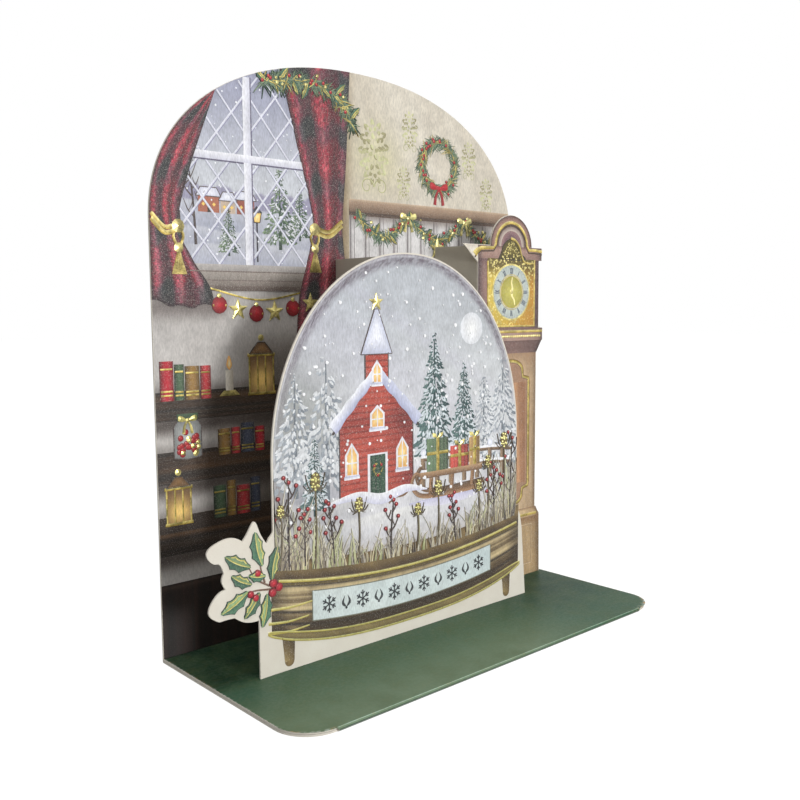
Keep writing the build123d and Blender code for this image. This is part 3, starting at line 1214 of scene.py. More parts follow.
@dataclass(kw_only=True)
class Greenery(Picture):
    """Wreath with a red bow, swags along the rail with gold bows, and a garland over the drape.

    The swags hang at one height from place to place across.
    """

    name: str = "room_greenery"
    plates: int = 30000
    gold: Colour = (228, 216, 146)
    wreath: tuple[float, float] = (37, 154)
    radius: float = 8.2
    swags: tuple[float, ...] = (-2, 22, 50, 75)
    hung: float = 134.5

    def garland(self, knots: list[Point], reach: float, seed: int, layer: float, leaves: float = 7.0) -> None:
        """Pine garland along a smooth line, with foil needles, holly leaves, berries and gold beads.

        Args:
            knots: Points that the line runs through.
            reach: Length of the needles.
            seed: Seed of what is scattered.
            layer: Print layer of the needles.
            leaves: Distance between the holly leaves along the line.
        """
        rng = np.random.default_rng(seed)
        path = curve(knots, 12 * len(knots))
        length = np.linalg.norm(np.diff(path, axis=0), axis=1).sum()
        self.needles(path, reach, int(length * 13), seed, layer, spread=1.35)
        self.needles(path, reach * 1.05, int(length * 0.9), seed + 1, layer + 1, None, 1.45, 0.34)
        for number in range(int(length / leaves)):
            root = path[int((number + 0.5) * leaves / length * len(path))]
            angle = rng.uniform(0.5, 1.3) * (1 if number % 2 else -1) + (0 if number % 3 else math.pi)
            tip = root + turned(np.array([reach * rng.uniform(0.9, 1.25), 0]), angle)
            self.holly_leaf(root, tip, reach * 0.5, layer + 1.5, 0.9)
        count = int(length / 3.2)
        near = path[rng.integers(0, len(path), count)] + rng.normal(0, reach * 0.24, (count, 2))
        self.berries(near, 0.6, layer + 6)
        beads = path[rng.integers(0, len(path), count)] + rng.normal(0, reach * 0.28, (count, 2))
        self.gilt_dots(beads, rng.uniform(0.3, 0.65, count), layer + 7)

    def draw(self) -> None:
        """Wreath, swags, bows, star and garland."""
        (x, z), radius, hung = self.wreath, self.radius, self.hung
        loop = arc((x, z), radius, count=60)
        self.needles(loop, radius * 0.62, 900, 81, 5, spread=0.9)
        self.needles(loop, radius * 0.6, 80, 82, 6, None, 1.1, 0.26)
        rng = np.random.default_rng(83)
        self.berries(loop[rng.integers(0, 60, 26)] + rng.normal(0, 0.9, (26, 2)), 0.6, 7)
        self.bow((x, z - radius), radius * 0.5, 8, BERRY)
        for number, (start, end) in enumerate(zip(self.swags, self.swags[1:])):
            swag = [(start, hung), ((start + end) / 2, hung - 7), (end, hung)]
            self.garland(swag, 3.8, 101 + 3 * number, 6)
        for x in self.swags[1:-1]:
            self.bow((x, hung), 3.4, 16)
        self.star((36, 124.5), 4, 16)
        self.garland([(-38, 171.5), (-29, 173.5), (-18, 174), (-8, 170.5), (-3, 163)], 5, 111, 21, 5)


@dataclass(kw_only=True)
class Shelves(Picture):
    """Oak shelves over dark boards, what stands on them, and a string of baubles under the sill.

    A row of a table gives a place across, a shelf counted from the top and, where it has them, a height
    and a seed.
    """

    name: str = "room_shelves"
    plates: int = 40000
    gold: Colour = (240, 226, 146)
    skirting: float = 23.0
    covers: Table = ((146, 28, 40), (58, 78, 56), (120, 92, 48), (150, 44, 48), (52, 58, 74))
    book_rows: Table = ((-74.4, 0, 12.5, 0), (-56, 1, 9.5, 2), (-58, 2, 11, 1), (-12, 0, 14, 3),
                        (36, 0, 14, 4), (-20, 1, 13, 1), (20, 1, 13, 2), (-30, 2, 13, 3),
                        (4, 2, 13, 0))
    lanterns: Table = ((-40, 0, 17.5), (-69.5, 2, 15.5), (52, 1, 15))
    jars: Table = ((-66, 1, 13.5, 51), (-21.5, 0, 13, 61), (26, 0, 13, 62), (2, 1, 13, 63))
    candles: Table = ((-51.5, 0), (10, 0), (-30, 1), (40, 2))

    def oak(self, x: Array, z: Array, low: float, high: float, seed: int) -> Array:
        """Colours of a shelf: a streaky top over a moulded lip, with dark seams.

        Args:
            x: Places across.
            z: Heights.
            low: Its lower edge.
            high: Its upper edge.
            seed: Seed of the grain.

        Returns:
            A colour for each place.
        """
        up = (z - low) / (high - low)
        streak = waves(z * 2.2 + 0.25 * waves(x, seed, 9), seed, 0.5) + 0.35 * waves(x, seed + 5, 7)
        top = blend((30, 19, 11), (92, 66, 42), 0.48 + 1 * streak)
        return washed(blend((24, 16, 11), (74, 53, 36), 0.46 + 0.9 * streak), (top, ease(up, 0.34, 0.4)),
                      (SOOT * 0.5, 0.8 * bell(up, 0.37, 0.03) + 0.6 * ease(up, 0.86, 1)),
                      (OAK_LIGHT * 0.7, 0.5 * bell(up, 0.3, 0.035)),
                      (SOOT * 0.6, 0.85 * (1 - ease(up, 0.02, 0.12))))

    def board_ink(self, x: Array, z: Array) -> Array:
        """Colours of the dark upright boards, with seams and a pale line along their top."""
        ink = blend((18, 11, 9), (58, 38, 32), 0.34 + 0.6 * waves(x + 0.3 * waves(z, 3, 12), 41, 0.7))
        return washed(ink, (SOOT * 0.7, 0.85 * bell(x % 12, 6, 0.5)),
                      ((92, 76, 64), 0.5 * bell(z, self.skirting - 1.2, 0.6)))

    def books(self, x: float, foot: float, tall: float, seed: int) -> None:
        """Row of four standing books, each shaded across its spine, with foil bands.

        Args:
            x: Left end.
            foot: Height of the shelf.
            tall: Height of the tallest book.
            seed: Seed of the heights, and which cover comes first.
        """
        rng = np.random.default_rng(seed)
        for number, width in enumerate((4.6, 3.4, 5, 3.8)):
            height = tall * rng.uniform(0.78, 1)
            cover = tone(*self.covers[(number + seed) % len(self.covers)])
            grid = box_grid(x, x + width - 0.25, foot, foot + height, 0.5)
            spine = np.sin(math.pi * (grid[..., 0] - x) / width) ** 0.8
            self.patch(grid, blend(cover * 0.5, cover * 1.3, spine), 6, grain=0.7)
            for part in (0.14, 0.24, 0.8):
                z = foot + height * part
                self.gilt(line(x + 0.3, z, x + width - 0.6, z), 0.5, 8)
            x += width

    def candle(self, x: float, foot: float, tall: float = 8.0) -> None:
        """Candle in a gold holder, with a two-coloured flame.

        Args:
            x: Middle.
            foot: Height of the shelf.
            tall: Height up to the flame.
        """
        self.ribbons(line(x, foot + 1, x, foot + tall), 2.6, (232, 226, 212), 6, (176, 166, 150))
        flame = np.array([(0, 0), (0.9, 1.6), (0, 4.4), (-0.9, 1.6)]) + [x, foot + tall]
        self.shape(flame, (240, 170, 70), 7, (255, 240, 190), smooth=True)
        cup = np.array([(-3.6, 0.3), (3.6, 0.3), (2, 1.9), (-2, 1.9)]) + [x, foot]
        self.fans(cup, (x, foot + 1), self.gold, 8, crown=0.2, finish=Finish.FOIL)

    def lantern(self, x: float, foot: float, tall: float) -> None:
        """Lantern with gold bars, a glowing pane and a peaked lid.

        Args:
            x: Middle.
            foot: Height of the shelf.
            tall: Height.
        """
        half, body = tall / 4, foot + tall * 0.7
        glow = box_grid(x - half, x + half, foot, body, 0.5)
        near = bell(np.hypot(glow[..., 0] - x, glow[..., 1] - foot - tall * 0.25), 0, half * 1.1)
        self.patch(glow, blend((96, 70, 44), (250, 210, 120), near), 6, grain=0.3)
        for at in (-half, -half * 0.33, half * 0.33, half):
            self.gilt(line(x + at, foot, x + at, body), 0.5, 8)
        for z in (foot + 0.3, body):
            self.gilt(line(x - half - 0.6, z, x + half + 0.6, z), 0.9, 9)
        low, high = body + 0.3, foot + tall * 0.92
        lid = [(x - half, low), (x + half, low), (x + half * 0.3, high), (x - half * 0.3, high)]
        self.shape(lid, (84, 60, 36), 7, (140, 104, 60), SOOT)
        self.gilt_dots((x, foot + tall), 1, 8)

    def jar(self, x: float, foot: float, tall: float, seed: int) -> None:
        """Glass jar of red and gold sweets with a green lid.

        Args:
            x: Middle.
            foot: Height of the shelf.
            tall: Height.
            seed: Seed of where the sweets lie.
        """
        half = tall / 3
        side = np.array([(half, 0.6), (half, tall * 0.72), (half * 0.7, tall * 0.85)])
        glass = np.vstack([[0, 0], side, side[::-1] * [-1, 1]]) + [x, foot]
        self.shape(glass, (120, 122, 120), 6, (190, 192, 190), PENCIL)
        low, high = (x - half + 1.1, foot + 1.2), (x + half - 1.1, foot + tall * 0.6)
        sweets = np.random.default_rng(seed).uniform(low, high, (24, 2))
        self.berries(sweets[:16], 0.95, 7)
        self.gilt_dots(sweets[16:], 0.8, 9)
        z = foot + tall * 0.92
        self.ribbons(line(x - half * 0.75, z, x + half * 0.75, z), tall * 0.16, (66, 92, 66), 8, (34, 52, 38))

    def string(self) -> None:
        """Gold thread under the sill, hung in turn with red baubles and gold stars."""
        thread = curve([(-58, 109.5), (-40, 106), (-21, 109)], 40)
        self.gilt(thread, 0.5, 13)
        for number, (x, z) in enumerate(thread[4::7]):
            if number % 2:
                self.star((x, z - 4), 3.4, 14)
            else:
                self.berries([(x, z - 4.2)], 2.6, 14)
                self.gilt(line(x - 2.3, z - 4.3, x + 2.3, z - 4.3, 5), 0.6, 18)
                self.gilt_dots((x, z - 1.5), 0.7, 16)

    def draw(self) -> None:
        """Shelves, boards, everything that stands on the shelves, and the string."""
        half, low = self.plan.half, self.plan.low
        for seed, (foot, high) in enumerate(self.plan.shelves, 91):
            grid = box_grid(-half, half, foot, high, 0.7)
            self.patch(grid, self.oak(grid[..., 0], grid[..., 1], foot, high, seed), 3, grain=0.6)
        boards = np.meshgrid(np.linspace(-half, half, 300), np.linspace(low, self.skirting, 24))
        self.patch(np.stack(boards, -1), self.board_ink, 3, grain=0.08)
        feet = [high - 2.6 for _, high in self.plan.shelves]
        for rows, step in ((self.book_rows, self.books), (self.lanterns, self.lantern),
                           (self.jars, self.jar)):
            for x, shelf, *sizes in rows:
                step(x, feet[shelf], *sizes)
        self.bow((-66, feet[1] + 11.5), 2.8, 12)
        for x, shelf in self.candles:
            self.candle(x, feet[shelf])
        self.string()


@dataclass(kw_only=True)
class Dome(Picture):
    """Snowy village in the dome: moon, firs, a red chapel, a fence and a loaded sledge.

    A bank has a height and a seed, and a fir a foot, a height and a seed.
    """

    name: str = "globe_print"
    plates: int = 1000
    chapel_foot: tuple[float, float] = (-20.5, 47)
    sledge_foot: tuple[float, float] = (10, 43.5)
    banks: Table = ((60, 124), (51, 125), (43, 126))
    misty: FirKind = FirKind(0.74, 3, (tone(122, 130, 138), tone(178, 184, 190)), tone(226, 228, 230), 230,
                             0.75, 1.25, 6)
    near: FirKind = FirKind(0.6, 6, (tone(40, 66, 68), tone(94, 122, 118)), tone(218, 226, 230), 640,
                            0.36, 0.85, 7)
    misty_firs: Table = ((-50, 50, 36, 131), (-39, 47, 44, 132), (36.5, 46, 42, 133),
                         (27, 52, 30, 134), (-28, 58, 22, 135))
    near_firs: Table = ((4, 54, 42, 136), (17.5, 53, 33, 137), (-43.5, 44, 23, 138))

    def scene_ink(self, x: Array, z: Array) -> Array:
        """Colours of the sky, the snow banks and the smoky shade inside the rim.

        Args:
            x: Places across.
            z: Heights.

        Returns:
            Their colours.
        """
        plan = self.plan
        ink = blend((211, 213, 213), (180, 184, 189), ease(z + 4 * waves(x, 121, 10), 64, 112))
        ink = washed(ink, ((192, 189, 205), 0.3 * ease(waves(x * 0.7 + z * 1.3, 122, 9), 0, 0.6)),
                     ((136, 138, 136), 0.68 * ease(plan.centre - 12 - x, 0, 32) * ease(102 - z, 0, 30)),
                     ((172, 177, 184), 0.6 * ease(63 + 3.2 * waves(x, 123, 3) - z, -1.5, 1.5)))
        for top, seed in self.banks:
            depth = top + 4 * waves(x, seed, 22) - z
            shade = 0.2 + 0.06 * depth + 0.25 * waves(x + 3 * z, seed, 5)
            snow = blend((230, 229, 226), (198, 198, 206), shade)
            snow = blend(snow, snow * 0.82, ease(plan.centre - 10 - x, 0, 34))
            ink = blend(ink, snow, ease(depth, -0.4, 0.8))
        gauge = plan.gauge(np.stack([x, z], -1))
        chalk = np.random.default_rng(128).random(x.shape)
        turn = np.arctan2(z - plan.spring, x - plan.centre)
        rim = ease(gauge + 0.012 * waves(turn * 40, 127, 3), 0.925, 0.978)
        return washed(ink, ((92, 82, 92), rim * (0.15 + 0.55 * ease(z, 60, 108)) * (0.35 + chalk)),
                      ((222, 222, 226), 0.6 * bell(gauge, 0.993, 0.006)),
                      ((150, 134, 104), (0.15 + 0.3 * chalk) * ease(plan.foot(x) + 7 - z, -3, 8)),
                      ((124, 116, 104), 0.5 * ease(gauge, 0.86, 0.98) * ease(66 - z, 0, 25)))

    def board_ink(self, x: Array, z: Array) -> Array:
        """Colours of the chapel's red boards, darker on the right, under the eaves and along each seam.

        Args:
            x: Places across.
            z: Heights.

        Returns:
            Their colours.
        """
        (middle, foot), dark = self.chapel_foot, tone(140, 50, 46)
        across = x - middle
        ink = blend((194, 84, 66), dark, 0.3 + 0.5 * waves(across * 0.8 + z * 0.4, 141, 2.5))
        return washed(ink, (dark * 0.9, 0.9 * ease(across, 4, 15) + 0.5 * bell(z, foot + 22.5, 3.5)),
                      (dark * 0.6, 0.65 * bell(z % 1.9, 0.2, 0.24)))

    def pane(self, x: float, z: float, wide: float, tall: float) -> None:
        """Lit window with a pointed head, white bars and a snowy sill.

        Args:
            x: Its middle.
            z: Its foot.
            wide: Width.
            tall: Height.
        """
        half, head, trim = wide / 2, z + tall * 0.65, (232, 230, 234)
        edge = [(x - half, z), (x + half, z), (x + half, head), (x, z + tall), (x - half, head)]
        self.shape(edge, (222, 160, 80), 13, (255, 234, 166), grain=0.3)
        self.ribbons(np.array(edge + edge[:1]), 0.8, trim, 14, grain=0.4)
        for bar in (line(x, z, x, z + tall), line(x - half, z + tall * 0.4, x + half, z + tall * 0.4)):
            self.ribbons(bar, 0.4, trim, 14, grain=0.4)
        self.ribbons(line(x - wide * 0.66, z - 0.5, x + wide * 0.66, z - 0.5), 1.1, (180, 184, 208), 15,
                     (244, 244, 246))

    def roofs(self) -> None:
        """Snow on the chapel's spire and on both slopes of its gable, and the star on top."""
        at = np.array(self.chapel_foot)
        spire = [(-5.6, 42.6), (6.6, 42.6), (1.2, 56), (-0.2, 56)] + at
        self.shape(spire, (192, 196, 214), 12, (238, 239, 244), PENCIL, grain=0.3)
        self.star(at + [0.5, 58], 2.8, 13)
        shade = (172, 176, 204)
        wide = np.linspace(3, 3.7, 24) + 0.35 * np.sin(np.linspace(0, 22, 24))
        for side, light in ((-1, (240, 241, 245)), (1, (206, 209, 226))):
            eave = curve([(0.5, 37.4), (0.5 + side * 8, 30.2), (0.5 + side * 17, 21.4)] + at)
            self.ribbons(eave - [0, 1.5], 0.7, PENCIL * 0.8, 12, grain=0.7)
            self.ribbons(eave, wide, (shade, light)[::-side][0], 13, (shade, light)[::side][0], grain=0.3)

    def chapel(self) -> None:
        """Red boarded chapel: a gabled nave with lit windows, a bell tower and snow on every roof."""
        at, trim = np.array(self.chapel_foot), (232, 230, 234)
        x, foot = at
        self.patch(box_grid(x - 14, x + 15, foot, foot + 23, 0.45), self.board_ink, 9, grain=0.75)
        left = line(x - 14, foot + 23, x + 0.5, foot + 36, 40)
        self.patch(grid_between(left, left * [-1, 1] + [2 * x + 1, 0], 50), self.board_ink, 9, grain=0.75)
        self.patch(box_grid(x - 4, x + 5, foot + 28, foot + 43, 0.45), self.board_ink, 11, grain=0.75)
        for ends in ((-14, 0, -14, 23), (15, 0, 15, 23), (-4, 33, -4, 43), (5, 33, 5, 43)):
            self.ribbons(line(*ends) + at, 0.4, PENCIL, 12, grain=0.9)
        self.roofs()
        for across, up, wide, tall in ((-9.5, 7, 4.4, 9.5), (10.5, 7, 4.4, 9.5), (0.5, 34, 3.4, 6.5),
                                       (0.5, 20.5, 5, 6.5)):
            self.pane(x + across, foot + up, wide, tall)
        door = box_grid(x - 3, x + 4, foot, foot + 12.5, 0.5)
        plank = bell(door[..., 0] % 1.75, 0.2, 0.25)
        self.patch(door, blend((62, 96, 74), (28, 46, 36), 0.25 + 0.7 * plank), 12, grain=0.7)
        self.ribbons([(-3, 0), (-3, 12.5), (4, 12.5), (4, 0)] + at, 1, trim, 13, grain=0.4)
        loop = arc(at + [0.5, 8], 1.7, count=30)
        self.needles(loop, 1.3, 90, 142, 14, (PINE, LEAF), width=0.3)
        self.needles(loop, 1.1, 26, 143, 15, None, width=0.3)
        self.berries([(0.5, 6), (-0.9, 9), (1.9, 9.1)] + at, 0.5, 16)
        bank = curve([(-20, 0.4), (-8, 1.8), (2, -0.2), (12, 1.6), (21, 0.2)] + at, 40)
        wide = 3.4 * np.sin(np.linspace(0.12, math.pi - 0.12, 40))
        self.ribbons(bank - [0, 1.2], wide, (240, 240, 242), 15, (206, 206, 224), grain=0.3)

    def fence(self) -> None:
        """Wooden rail fence with snow caps, behind the sledge."""
        rng = np.random.default_rng(145)
        for rise in (51, 55.5):
            rail = curve([(-2, rise), (12, rise - 0.5), (26, rise + 0.4), (41, rise - 0.6)], 30)
            self.ribbons(rail, 1.3, (150, 124, 96), 8, (88, 68, 52), grain=0.8)
            self.ribbons(rail + [0, 0.8], 0.8, (240, 240, 243), 10, grain=0.2)
        for x in np.arange(-1, 42, 6.2):
            tall = 57.5 + rng.uniform(-0.8, 0.8)
            self.ribbons(line(x, 46.5, x, tall), 1.8, (164, 138, 108), 9, (84, 64, 50), grain=0.8)
            self.dots((x, tall), 1.2, (214, 217, 230), 11, (246, 246, 248))

    def parcel(self, x: float, z: float, wide: float, tall: float, ink: Array) -> None:
        """Wrapped parcel with a striped side, foil ribbon and bow.

        Args:
            x: Its left side.
            z: Its foot.
            wide: Width.
            tall: Height.
            ink: Colour of its wrapping.
        """
        grid = box_grid(x, x + wide, z, z + tall, 0.4)
        stripe = bell(grid[..., 0] % 1.6, 0.8, 0.3)
        side = blend(ink * 1.2, ink * 0.62, (grid[..., 0] - x) / wide)
        self.patch(grid, blend(side, ink * 1.45, 0.5 * stripe), 14, grain=0.7)
        middle = x + wide / 2
        self.gilt(line(middle, z, middle, z + tall), 1.3, 16)
        self.gilt(line(x, z + tall * 0.55, x + wide, z + tall * 0.55), 1, 16)
        for way in (1, -1):
            loop = np.array([(0, 0), (0.9, 1.5), (2.4, 1.8), (2, 0.4)]) * [way, 1] + [middle, z + tall]
            self.fans(loop, loop.mean(0), self.gold, 17, crown=0.25, finish=Finish.FOIL)

    def sledge(self) -> None:
        """Wooden sledge with curled runners, loaded with parcels."""
        at, brown, dark = np.array(self.sledge_foot), tone(168, 130, 94), tone(104, 76, 54)
        track = curve([(-17, -1.6), (0, -2.4), (19, -1.4)] + at)
        self.ribbons(track, 3 * np.sin(np.linspace(0.2, 2.9, 24)), (196, 194, 218), 9, (222, 220, 232))
        runner = curve([(15, 0.4), (4, 0), (-8, 0), (-13.5, 1.2), (-16, 4.8), (-14.4, 7.6), (-12, 6.4),
                        (-12.8, 4.6)] + at, 50)
        wide = np.linspace(1.8, 1, 50)
        for shift, layer, shade in (((2.2, 1.6), 10, 0.72), ((0, 0), 13, 1)):
            self.ribbons(runner + shift, wide, brown * shade, layer, dark * shade, grain=0.8)
        for post in (-8, 1.5, 11):
            self.ribbons(line(post, 0, post + 0.6, 6.2) + at, 1.5, brown, 12, dark, grain=0.8)
        self.ribbons(line(-12.5, 6.8, 16, 6.8, 20) + at, 2, (184, 148, 110), 14, dark, grain=0.8)
        for left, wide, tall, ink in ((-9.5, 9.5, 10.5, (88, 108, 82)), (1, 8.5, 7.2, (170, 70, 62)),
                                      (9.8, 5, 9.4, (160, 128, 84))):
            self.parcel(at[0] + left, at[1] + 7.8, wide, tall, tone(*ink))
        rope = curve([(-15.5, 5), (-19, 2), (-23, 1.6), (-25.5, 0.2)] + at, 20)
        self.ribbons(rope, 0.5, (120, 92, 66), 13)

    def draw(self) -> None:
        """The dome's field, moon, woods, chapel, fence, sledge and snowfall."""
        plan = self.plan
        self.patch(plan.field(plan.columns(180), 160, 26), self.scene_ink, 1, grain=0.5)
        self.dots((21, 96.5), 5.2, (222, 224, 228), 2, (240, 240, 238), corners=40, grain=0.5)
        for firs, kind in ((self.misty_firs, self.misty), (self.near_firs, self.near)):
            for x, z, tall, seed in firs:
                self.fir((x, z), tall, seed, kind)
        self.chapel()
        self.fence()
        self.sledge()
        rng = np.random.default_rng(140)
        flakes = rng.uniform((-56, 40), (42, 119), (280, 2))
        flakes = flakes[plan.gauge(flakes) < 0.97]
        sizes = rng.uniform(0.2, 0.68, len(flakes)) ** 1.2
        self.dots(flakes, sizes, (244, 244, 245), 18, corners=8, grain=0.1)


@dataclass(kw_only=True)
class Meadow(Picture):
    """Dry grasses, berried twigs and gilt seed heads along the foot of the dome, tallest at the sides.

    Each row of grasses gives a count, a height, two colours, a width and a layer. Each twig has a place
    and a height, and each seed head a place, a height and a size.
    """

    name: str = "meadow_print"
    plates: int = 20000
    gold: Colour = (255, 248, 170)
    # How patchy the painted reflections of this face's foil are.
    wear_and_reflection: float = 0.5
    lean: float = 0.4
    grasses: Table = ((100, 19, ((168, 162, 148), (208, 202, 186)), 0.5, 17),
                      (34, 19, ((150, 154, 108), (196, 196, 150)), 0.85, 18),
                      (80, 15, ((170, 158, 126), (212, 202, 166)), 0.4, 18),
                      (110, 12, ((112, 102, 90), (154, 142, 122)), 0.32, 19),
                      (70, 8.5, ((58, 52, 50), (100, 90, 82)), 0.28, 19))
    twigs: Table = ((-53, 24), (-47.5, 15), (-37, 18), (-15, 17), (13, 14), (32, 19),
                    (40, 27))
    seed_heads: Table = ((-44, 22, 2.6), (-28, 15, 2.2), (-4, 11, 1.9), (5, 16, 2.4),
                         (24, 13, 2), (36.5, 25, 2.6), (-56, 14, 1.8), (28.5, 20, 2.1))

    def blades(self, feet: Array, tall: Array, seed: int, layer: float, inks: tuple[Colour, Colour],
               width: float) -> None:
        """Grass: one tapered blade from each foot, bending over and fading out as the square of its height.

        Args:
            feet: Where the blades grow, (n, 2).
            tall: Greatest height at each foot.
            seed: Seed of the heights, the leans and the shades.
            layer: Print layer.
            inks: Darkest and palest colour.
            width: Mean width of a foot.
        """
        rng = np.random.default_rng(seed)
        count = len(feet)
        tall = tall * rng.uniform(0.35, 1, count)
        aim = rng.normal(0, self.lean, count)
        t = shares(5)
        up = np.stack([0.25 * aim * tall, tall], -1)[:, None]
        over = np.stack([0.75 * aim * tall, -0.12 * tall * np.abs(aim)], -1)[:, None]
        widths = width * rng.uniform(0.5, 1.3, count)[:, None] * (1 - t[..., 0]) ** 0.6 + 0.05
        ink = blend(blend(*inks, rng.random(count))[:, None], HAZE, 0.7 * t[..., 0] ** 2)
        self.ribbons(feet[:, None] + up * t + over * t * t, widths, ink, layer, grain=0.55)

    def seed_head(self, x: float, tall: float, size: float) -> None:
        """Gilt seed head: an egg of foil scales on a stem, with curled bracts under it.

        Args:
            x: Foot of the stem.
            tall: Height of the stem.
            size: Half height of the head.
        """
        top = np.array([x + 0.5, self.plan.foot(x) + tall])
        self.ribbons(curve([top - [0.5, tall], top - [-0.2, tall / 2], top], 12), 0.46, (104, 94, 72), 23)
        turn, spread = np.arange(40) * GOLDEN_ANGLE, np.sqrt((np.arange(40) + 0.5) / 40)
        spots = top + [0, size * 0.9] + aimed(turn) * [0.6, 1] * spread[:, None] * size
        self.dots(spots, size * 0.17, (92, 78, 48), 24, (142, 124, 74), corners=6)
        self.gilt_dots(spots[::3] + [-0.1, 0.12], size * 0.14, 26, 0.2, 8)
        for side in (-1, 1):
            for reach, rise in ((1.5, 2), (1.8, 0.7), (1.2, -0.4)):
                bract = np.array([(0, 0), (0.62 * side * reach, 0.2 * rise - 0.15), (side * reach, rise)])
                self.ribbons(curve(bract * size * 0.9 + top, 8), np.linspace(0.34, 0.1, 8), (96, 86, 68), 24)

    def draw(self) -> None:
        """Grasses, twigs and seed heads."""
        rng, plan = np.random.default_rng(150), self.plan
        for count, tall, inks, width, layer in self.grasses:
            x = plan.centre + plan.half * 0.97 * np.sin(rng.uniform(-1, 1, count) * math.pi / 2)
            side = np.abs(x - plan.centre) / plan.half
            feet = np.stack([x, plan.foot(x) - 1], -1)
            self.blades(feet, tall * (0.6 + 0.9 * ease(side, 0.4, 1)), layer + count, layer, inks, width)
        for number, (x, tall) in enumerate(self.twigs):
            self.twig(np.array([x, plan.foot(x)]), tall, 160 + number, 21, 5 + number % 3, 0.55, 0.66)
        for head in self.seed_heads:
            self.seed_head(*head)


@dataclass(kw_only=True)
class Stand(Picture):
    """Planked wooden stand with mouldings, feet and a plaque, and the holly spray on the leaf wing.

    Each leaf has a foot, a tip and a width.
    """

    name: str = "stand_print"
    plates: int = 40000
    trimmed: bool = False
    gold: Colour = (255, 250, 176)
    # How patchy the painted reflections of this face's foil are.
    wear_and_reflection: float = 0.3
    half: float = 52.0
    leaves: Table = (((-65.4, 33.4), (-73.4, 37.8), 4.6), ((-61.8, 33), (-63.9, 43), 4.7),
                     ((-65.2, 28.6), (-71.6, 32.2), 3.9), ((-66.4, 27), (-75, 22.4), 4.8),
                     ((-62.8, 26), (-67.8, 19.6), 4), ((-60.4, 25), (-62.2, 15.8), 4.1),
                     ((-58.9, 28.4), (-56.6, 38), 4.1), ((-60.8, 30.2), (-66.2, 31.2), 3.2))
    fruit: Colour = (178, 40, 54)
    pencil: Colour = (50, 54, 58)

    def band(self, x: Array, low: Array, high: Array, light: Colour, dark: Colour, layer: float) -> None:
        """Rounded wooden moulding between two edge lines: light where its section faces up, dark below.

        Args:
            x: Places along it.
            low: Heights of the lower edge.
            high: Heights of the upper edge.
            light: Colour at its crest.
            dark: Colour in its shade.
            layer: Print layer.
        """
        up = np.linspace(0, 1, 12)[:, None]
        shade = np.sin(math.pi * (0.12 + 0.76 * up)) * (0.35 + 0.65 * up)
        ink = blend(dark, light, 1.15 * shade + 0.3 * waves(x + 6 * up, 175, 1.5))
        self.patch(grid_over(x, low, high, 12), ink, layer, grain=0.6)

    def wood(self) -> None:
        """Planks between two curved lines, darker under the plaque and at both ends."""
        plan, half = self.plan, self.half
        x, up = plan.centre + np.linspace(-half, half, 170), np.linspace(0, 1, 76)[:, None]
        streak = waves(up * 15 + 0.4 * waves(x, 171, 14), 172, 0.45) + 0.3 * waves(x + 9 * up, 173, 3)
        ink = blend((66, 50, 30), (196, 176, 134), 0.45 + 1.35 * streak)
        for seam in (0.16, 0.34, 0.72, 0.86):
            ink = blend(ink, SOOT, 0.85 * bell(up, seam, 0.018))
        away = np.abs(x - plan.centre)
        ink = washed(ink, ((46, 33, 19), 0.85 * bell(up, 0.13, 0.07) * ease(half - 8 - away, 0, 6)),
                     ((48, 38, 26), 0.6 * ease(away, half - 7, half)))
        self.patch(grid_over(x, plan.base_line(x), plan.foot(x), 76), ink, 3, grain=0.6)
        self.band(x, plan.sag(23.4, 5.2, x), plan.sag(29.6, 4.4, x), (138, 116, 74), (56, 42, 27), 5)

    def feet(self) -> None:
        """Two tapered feet that end in a knob."""
        down = np.linspace(0, 1, 8)
        for foot in (-53.4, 38.6):
            leg = line(foot, 11.5, foot + 0.2, 3.9, 8)
            self.ribbons(leg, 4.4 - 1.1 * down, blend((54, 42, 30), (106, 86, 54), down), 2,
                         blend((72, 58, 40), (158, 136, 88), down), grain=0.7)
            self.dots(leg[-1], 1.64, (112, 92, 58), 1.6, (138, 116, 74), corners=16)

    def mouldings(self) -> None:
        """Base moulding between two foil lines, the foil line over the plaque, and three on the wing."""
        plan = self.plan
        rim = plan.centre + np.linspace(-53.2, 52.8, 120)
        foot, thick = plan.base_line(rim) - 0.2, (1.02 - np.linspace(-1, 1, 120) ** 10) ** 0.5
        self.band(rim, foot - 1.3 * thick, foot + 1.3 * thick, (138, 122, 76), (66, 54, 34), 6)
        for rise, width in ((1.35, 0.5), (-1.15, 0.6)):
            self.gilt(np.stack([rim, foot + rise * thick], -1), width, 9)
        x = plan.centre + np.linspace(-49.5, 51, 110)
        upper = np.stack([x, plan.sag(22.7, 5.3, x)], -1)
        self.ribbons(upper - [0, 0.75], 0.9, (74, 62, 36), 8, (104, 88, 50), grain=0.6)
        self.gilt(upper, 0.75, 9)
        for ends in (((-59.1, 20), (-52, 19.4), (-45.1, 19.6)), ((-60, 16.2), (-53, 15.4), (-46.3, 15.6)),
                     ((-60.2, 13.4), (-53, 12.5), (-46.2, 12.7))):
            self.gilt(curve(ends, 16), np.linspace(0.8, 0.4, 16), 9)

    def flake(self, centre: Array) -> None:
        """Snow crystal of the plaque: six arms with a pair of twigs on each.

        Args:
            centre: Its middle.
        """
        arm = np.array([[0, 0], [0.5, 0], [1, 0]])
        twig = np.array([[0.5, 0], [0.64, 0.13], [0.78, 0.26]])
        strokes = [turned(part, math.radians(60 * turn + 30)) for turn in range(6)
                   for part in (arm, twig, twig * [1, -1])]
        self.ribbons(np.array(strokes) * 2.7 + centre, 0.42, self.pencil, 9, grain=0.1)

